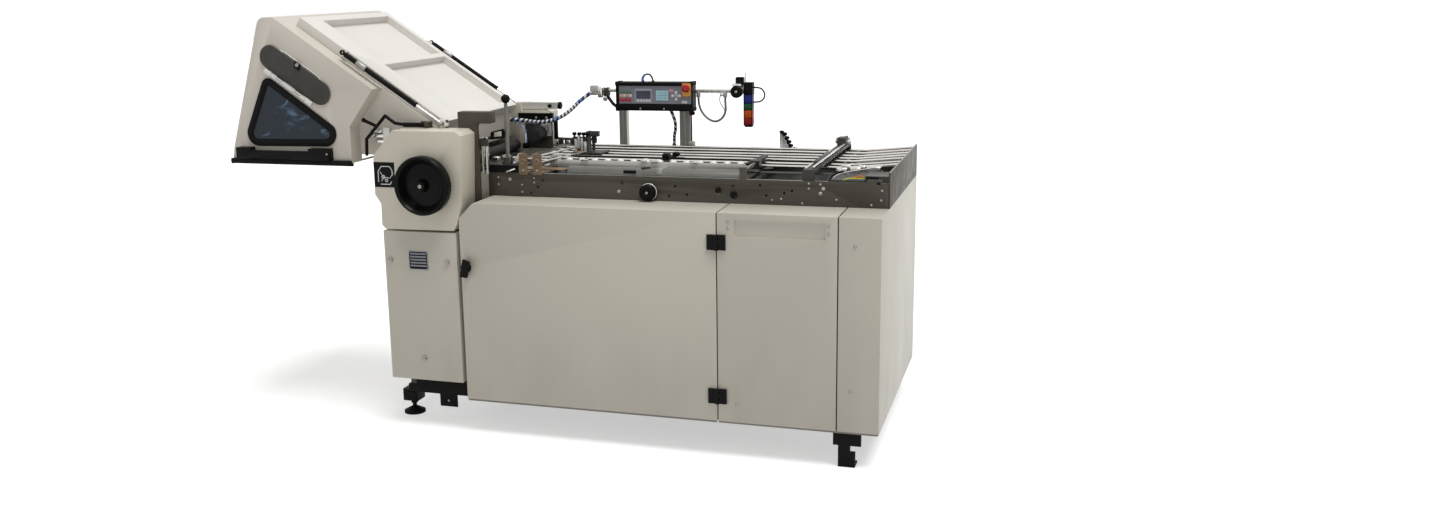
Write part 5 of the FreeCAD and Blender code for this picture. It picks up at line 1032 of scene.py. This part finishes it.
# ---- Hood, lid, flap and gas springs ----

FLAP_ENDS = (105.0, 257.0)    # its round ends' middles, down the slope
FLAP_OFF = -130.0
FLAP_END_STEPS = 14
WINDOW_FACE = 54.8
SPRING_OFF = 31
SPRING_SIDES = (("near", 105), ("far", 795))


def port_disc(name, radius, back, thick, finish):
    """Flat disc with straight sides, of the flap's own form, against the hood's wall."""
    outline = []
    for s_middle, turn in ((FLAP_ENDS[0], 1), (FLAP_ENDS[1], -1)):
        for step in range(FLAP_END_STEPS + 1):
            angle = math.pi * (0.5 + step / FLAP_END_STEPS)
            outline.append(on_slope(s_middle + turn * radius * math.cos(angle), back,
                                    FLAP_OFF + turn * radius * math.sin(angle)))
    plate(name, outline, (0, -thick, 0), finish, 0.1)


def make_hood():
    pieces = dress(hood_shell=1, hood_lid=1, side_flap=0.6, hood_grip=5, spring_cylinders=0.6,
                   window_pane=0)
    second_finish(pieces["side_flap"], "zinc", lambda face: abs(face.normal.y) < 0.5)
    # The lid's walls, square to its top, get the darker copy of its paint: painted shade.
    second_finish(pieces["hood_lid"], "lid_wall_painted_shade",
                  lambda face: abs(face.normal.y) > SQUARE or abs(face.normal.dot(DOWN)) > SQUARE)
    window = pieces["window_pane"]
    inset_faces(window, lambda face: face.normal.y < -FACING and face.center.y > at(0, WINDOW_FACE, 0).y,
                9, 0)
    second_finish(window, "window", lambda face: face.select)
    round_edges(window, 1.6, 3)
    left, right = -960, -447
    block("rubber_strip_front", (left, 48, 958), (right, 60, 976), "rubber", 3, (FRONT, 4, 1.5))
    block("rubber_strip_left", (left, 50, 955), (left + 10, 840, 966), "rubber", 2, (-RIGHT, 2, 0.8))
    block("rubber_strip_under", (left + 6, 58, 955), (right, 70, 966), "rubber", 1.5, (FRONT, 2, 0.4))
    for number, (s0, s1) in enumerate(((69, 99), (264, 294)), 1):
        slope_block("flap_hinge_cover_%d" % number, (s0, s1), (-190, -174), (45.5, 52), "zinc_rim", 1.5,
                    (FRONT, 3, 1.2))
    port_disc("flap_port_rim", 49.5, 59.95, 0.3, "zinc_rim")
    # Thin black ring round the flap, inside the rim.
    port_disc("flap_port_dark_ring", 45.4, 59.65, 0.12, "rubber")
    slope_block("flap_hinge_leaf", (100, 263), (-187, -175), (46.4, 48.8), "zinc_rim", 0.6, (FRONT, 2, 0.3),
                body="flap")
    slope_block("flap_catch_plate", (160, 186), (-94, -82), (50, 55.5), "black_plastic", 1.2,
                (FRONT, 2.5, 1.5), body="flap")
    turned("flap_catch_knob", on_slope(176, 50, -90), FRONT, [(0, 7), (5, 7), (7, 5), (7, 3), (5, 2)],
           "zinc", "flap", 0.6)
    slope_block("flap_catch_lever", (166, 192), (-104, -97), (46, 52), "black_plastic", 1.2, (FRONT, 2, 1),
                body="flap")
    turned("grip_screw", (-531, 26, 1002), FRONT, [(-1, 3.6), (1.2, 3.6), (1.8, 2.4)], "zinc", edge=0.3,
           sides=16)
    for side, y in SPRING_SIDES:
        turned("spring_sleeve_" + side, on_slope(351, y, SPRING_OFF), DOWN,
               [(0, 10.2), (2, 11.4), (41, 11.4), (43, 10.2)], "zinc", "spring_cylinder_pair", 0.5, 28)
        turned("spring_collar_" + side, on_slope(618, y, SPRING_OFF), DOWN,
               [(0, 9.6), (1, 10.4), (8, 10.4), (10, 7)], "black_plastic", "spring_cylinder_pair", 0.5, 28)
    x, _, z = on_slope(744, 0, SPRING_OFF)
    turned("spring_stud_nut", (x, 98, z), FRONT, [(0, 8.5), (6, 8.5), (7.5, 7), (7.5, 4), (10, 4), (11, 3)],
           "zinc", edge=0.4, sides=6)
    block("spring_stud_clamp", (x - 15, 112, z - 32), (x + 13, 126, z + 14), "bright_steel", 2,
          (FRONT, 4, 1.5), (UP, 3, 1))
    block("spring_stud_wing", (x + 10, 100, z - 10), (x + 26, 112, z + 4), "bright_steel", 1.6,
          (FRONT, 3, 1))


# ---- Control panel, rail and signal tower ----

PANEL_FACE = 812.0


def face_plate(name, x0, x1, z0, z1, proud, finish, edge, step=(FRONT, 0.8, 0.2)):
    """Thin plate on the panel's face, proud of it by a given height."""
    return block(name, (x0, PANEL_FACE - proud, z0), (x1, PANEL_FACE, z1), finish, edge, step,
                 body="panel")


def keys(name, x0, x1, z0, z1, proud, finish, *shifts, edge=0.8):
    """Keys alike: the first by its place, the others by (across, up) from it."""
    key = face_plate(name, x0, x1, z0, z1, proud, finish, edge)
    repeat(key, [(across, 0, up) for across, up in shifts])


def make_panel():
    dress(control_panel=2.5)
    face_plate("panel_overlay", 324, 622, 1119, 1189, 1.4, "overlay", 0.6, (FRONT, 1.5, -0.3))
    corner = block("panel_corner", (308, 808, 1190), (326, 862, 1206), "rubber", 3.5, (FRONT, 3, 1),
                   body="panel")
    repeat(corner, [(304, 0, 0), (0, 0, -101), (304, 0, -101)])
    block("panel_lip_top", (318, 808.5, 1190), (620, 813, 1203), "black_plastic", 2, (FRONT, 2, 0.5),
          body="panel")
    block("panel_lip_bottom", (318, 806, 1092), (620, 813, 1116), "black_plastic", 3, (FRONT, 3, 0.8),
          body="panel")
    screw = turned("panel_lip_screw", (414, 806, 1100), FRONT, [(0, 4), (1.6, 4), (2.4, 2.8)], "zinc",
                   "panel", 0.3, 16)
    repeat(screw, [(98, 0, 0)])
    keys("green_key", 327, 337, 1160, 1171, 2.2, "green_key", (13, 0), (26, 0), (39, 0))
    keys("orange_key", 327, 338, 1145, 1156, 2.2, "orange_key", (26, 0))
    keys("white_key", 340, 351, 1145, 1156, 2.2, "white_key", (26, 0))
    keys("red_key", 324.5, 336, 1128, 1140, 2.2, "red_key", (13, 0), (26, 0), (39, 0))
    face_plate("display_bezel", 391, 461, 1123, 1178, 1.8, "bezel", 1)
    face_plate("display_glass", 396, 456, 1139, 1170, 3.2, "glass", 0.8, (FRONT, 1.5, -0.4))
    keys("display_key", 399, 408, 1127, 1135, 2.6, "white_key", (12, 0), (24, 0), (36, 0), (47, 0))
    keys("number_key", 477.6, 489.2, 1131.6, 1140.6, 2.2, "cyan_key",
         *((13 * column, 10 * row) for row in range(4) for column in range(4) if row or column))
    keys("clear_key", 529, 550, 1163, 1177, 2, "pink_key")
    keys("arrow_key", 555, 566, 1146, 1156, 2.2, "white_key", (-14, 0), (14, 0), (0, 13), (0, -13), edge=1)
    keys("cross_key", 556, 565, 1147, 1155, 2.6, "pink_key")
    keys("blank_tile", 583, 606, 1121, 1132, 2, "white_key", edge=0.6)
    block("stop_collar", (586, 806, 1148), (622, 812, 1200), "yellow", 4, (FRONT, 2.5, 0.8), body="panel")
    turned("stop_collar_ring", (605, 807, 1182), FRONT, [(0, 18), (2, 18), (3, 14), (3, 11), (1, 10)],
           "yellow", "panel", 0.8, 36)
    cap = turned("stop_cap", (605, 799.4, 1182), FRONT,
                 [(-1.6, 8), (0, 8), (0, 13), (2, 16), (8, 16), (12, 13.5), (13.5, 8), (13, 3)],
                 "red", "stop_button", 1, 40)
    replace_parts(cap, "e_stop")


def make_rail():
    dress(panel_posts=1.2, panel_rail=0.8)
    knurl = turned("rail_sleeve", (652, 880, 1165), RIGHT, [(0, 7.4), (1, 8.2), (6, 8.2), (7, 7.4)],
                   "aluminium", edge=0.4)
    repeat(knurl, [(14, 0, 0), (32, 0, 0), (58, 0, 0), (118, 0, 0), (136, 0, 0)])
    block("rail_clamp_left", (212, 866, 1136), (234, 896, 1178), "bright_steel", 3, (FRONT, 4, 2),
          (UP, 4, 1.5))
    block("rail_clamp_right", (240, 862, 1142), (258, 896, 1176), "dark_steel", 2.5, (FRONT, 4, 1.5))
    turned("rail_clamp_screw", (224, 862, 1150), FRONT, [(-2, 5), (5, 5), (6, 3.5)], "zinc", sides=6)
    turned("rail_clamp_knob", (249, 860, 1134), (0.1, -1, -0.2), [(-4, 6), (4, 9), (10, 9), (12, 6)],
           "aluminium")
    bent_bar("panel_side_arm", [(249, 878, 1146), (262, 868, 1132), (290, 850, 1106), (312, 846, 1098)],
             6.5, "black_plastic")
    block("post_clamp_near", (590, 886, 1066), (600, 902, 1086), "red_lens", 2, (FRONT, 2, 1))
    turned("post_clamp_knob", (596, 886, 1076), RIGHT, [(0, 5), (2, 8), (14, 8), (18, 5)], "black_plastic")
    bar("thin_far_rod", (594, 906, 1086), (594, 906, 942), 3.2, "dark_steel")
    block("thin_rod_clamp", (582, 898, 940), (608, 914, 962), "aluminium", 2.5, (FRONT, 3, 1.5), (UP, 3, 1))
    block("rail_plug", (722, 866, 1146), (738, 890, 1160), "bright_steel", 2, (FRONT, 3, 1.5))


TOWER_X, TOWER_Y = 836.5, 880
TOWER_GAP = 0.3
TOWER_SEGMENTS = (    # name, bottom, top, finish, half its width
    ("tower_foot", 1026, 1034, "black_plastic", 15),
    ("red_lens", 1034, 1060, "red_lens", 17.5),
    ("orange_lens", 1060, 1092, "orange_lens", 17.5),
    ("green_lens", 1092, 1119, "green_lens", 17.5),
    ("blue_lens", 1119, 1152, "blue_lens", 17.5),
    ("tower_top", 1152, 1200, "black_plastic", 18.2),
)


def make_tower():
    for name, low, high, finish, half in TOWER_SEGMENTS:
        segment = block(name, (TOWER_X - half, TOWER_Y - half, low + TOWER_GAP),
                        (TOWER_X + half, TOWER_Y + half, high - TOWER_GAP), finish, 2.5, (UP, 2.5, 0.1),
                        segments=3)
        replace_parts(segment, "signal_tower")
    for x in (818.6, 850.4):
        block("tower_spine_%d" % x, (x, 861.8, 1032), (x + 4, 866, 1196), "black_plastic", 1.2,
              (FRONT, 1, 0.3))
    block("tower_clamp_block", (785, 868, 1188), (816, 894, 1219), "black_plastic", 2.5, (FRONT, 3, -1),
          (UP, 4, 1))
    block("tower_clamp_neck", (790, 872, 1170), (812, 890, 1190), "black_plastic", 1.5, (FRONT, 3, -1))
    bar("tower_pin", (822, 880, 1198), (822, 880, 1238), 1.8, "zinc")
    turned("swivel_knob", (794, 854, 1165), FRONT,
           [(-2, 20), (0, 24), (9, 24), (13, 20), (13, 12), (10, 9), (10, 5)], "knob", edge=1, sides=40)
    turned("swivel_screw", (794, 843, 1165), FRONT, [(-2, 6), (3, 6), (4, 4.4), (4, 2.6), (2, 2.2)], "zinc",
           edge=0.3, sides=20)
    plate("swivel_bracket", [(776, 852, 1186), (812, 852, 1186), (812, 852, 1196), (776, 852, 1196)],
          (0, 30, 0), "bright_steel", 1.5)


def add_panel_loop():
    """Boots and sleeve of the short lead that loops out of the panel's top and back in."""
    bent_bar("panel_lead_sleeve", [(415, 836, 1202), (413, 836, 1214), (419, 836, 1226), (425, 836, 1232)],
             4, "blue_wire", "panel")
    boot = turned("panel_lead_boot", (416, 840, 1201), UP, [(0, 6), (4, 6), (8, 4.6)], "black_plastic",
                  "panel", 0.5)
    repeat(boot, [(42, 0, 0)])


# ---- Build ----

bpy.context.scene.view_settings.view_transform = "Standard"
add_camera()
add_world()
add_sun()
add_floor()
add_cords()
finish_cad_nodes()
make_cabinet()
make_fold_unit()
make_rear_of_fold_unit()
make_table()
make_hood()
make_panel()
make_rail()
make_tower()
add_panel_loop()
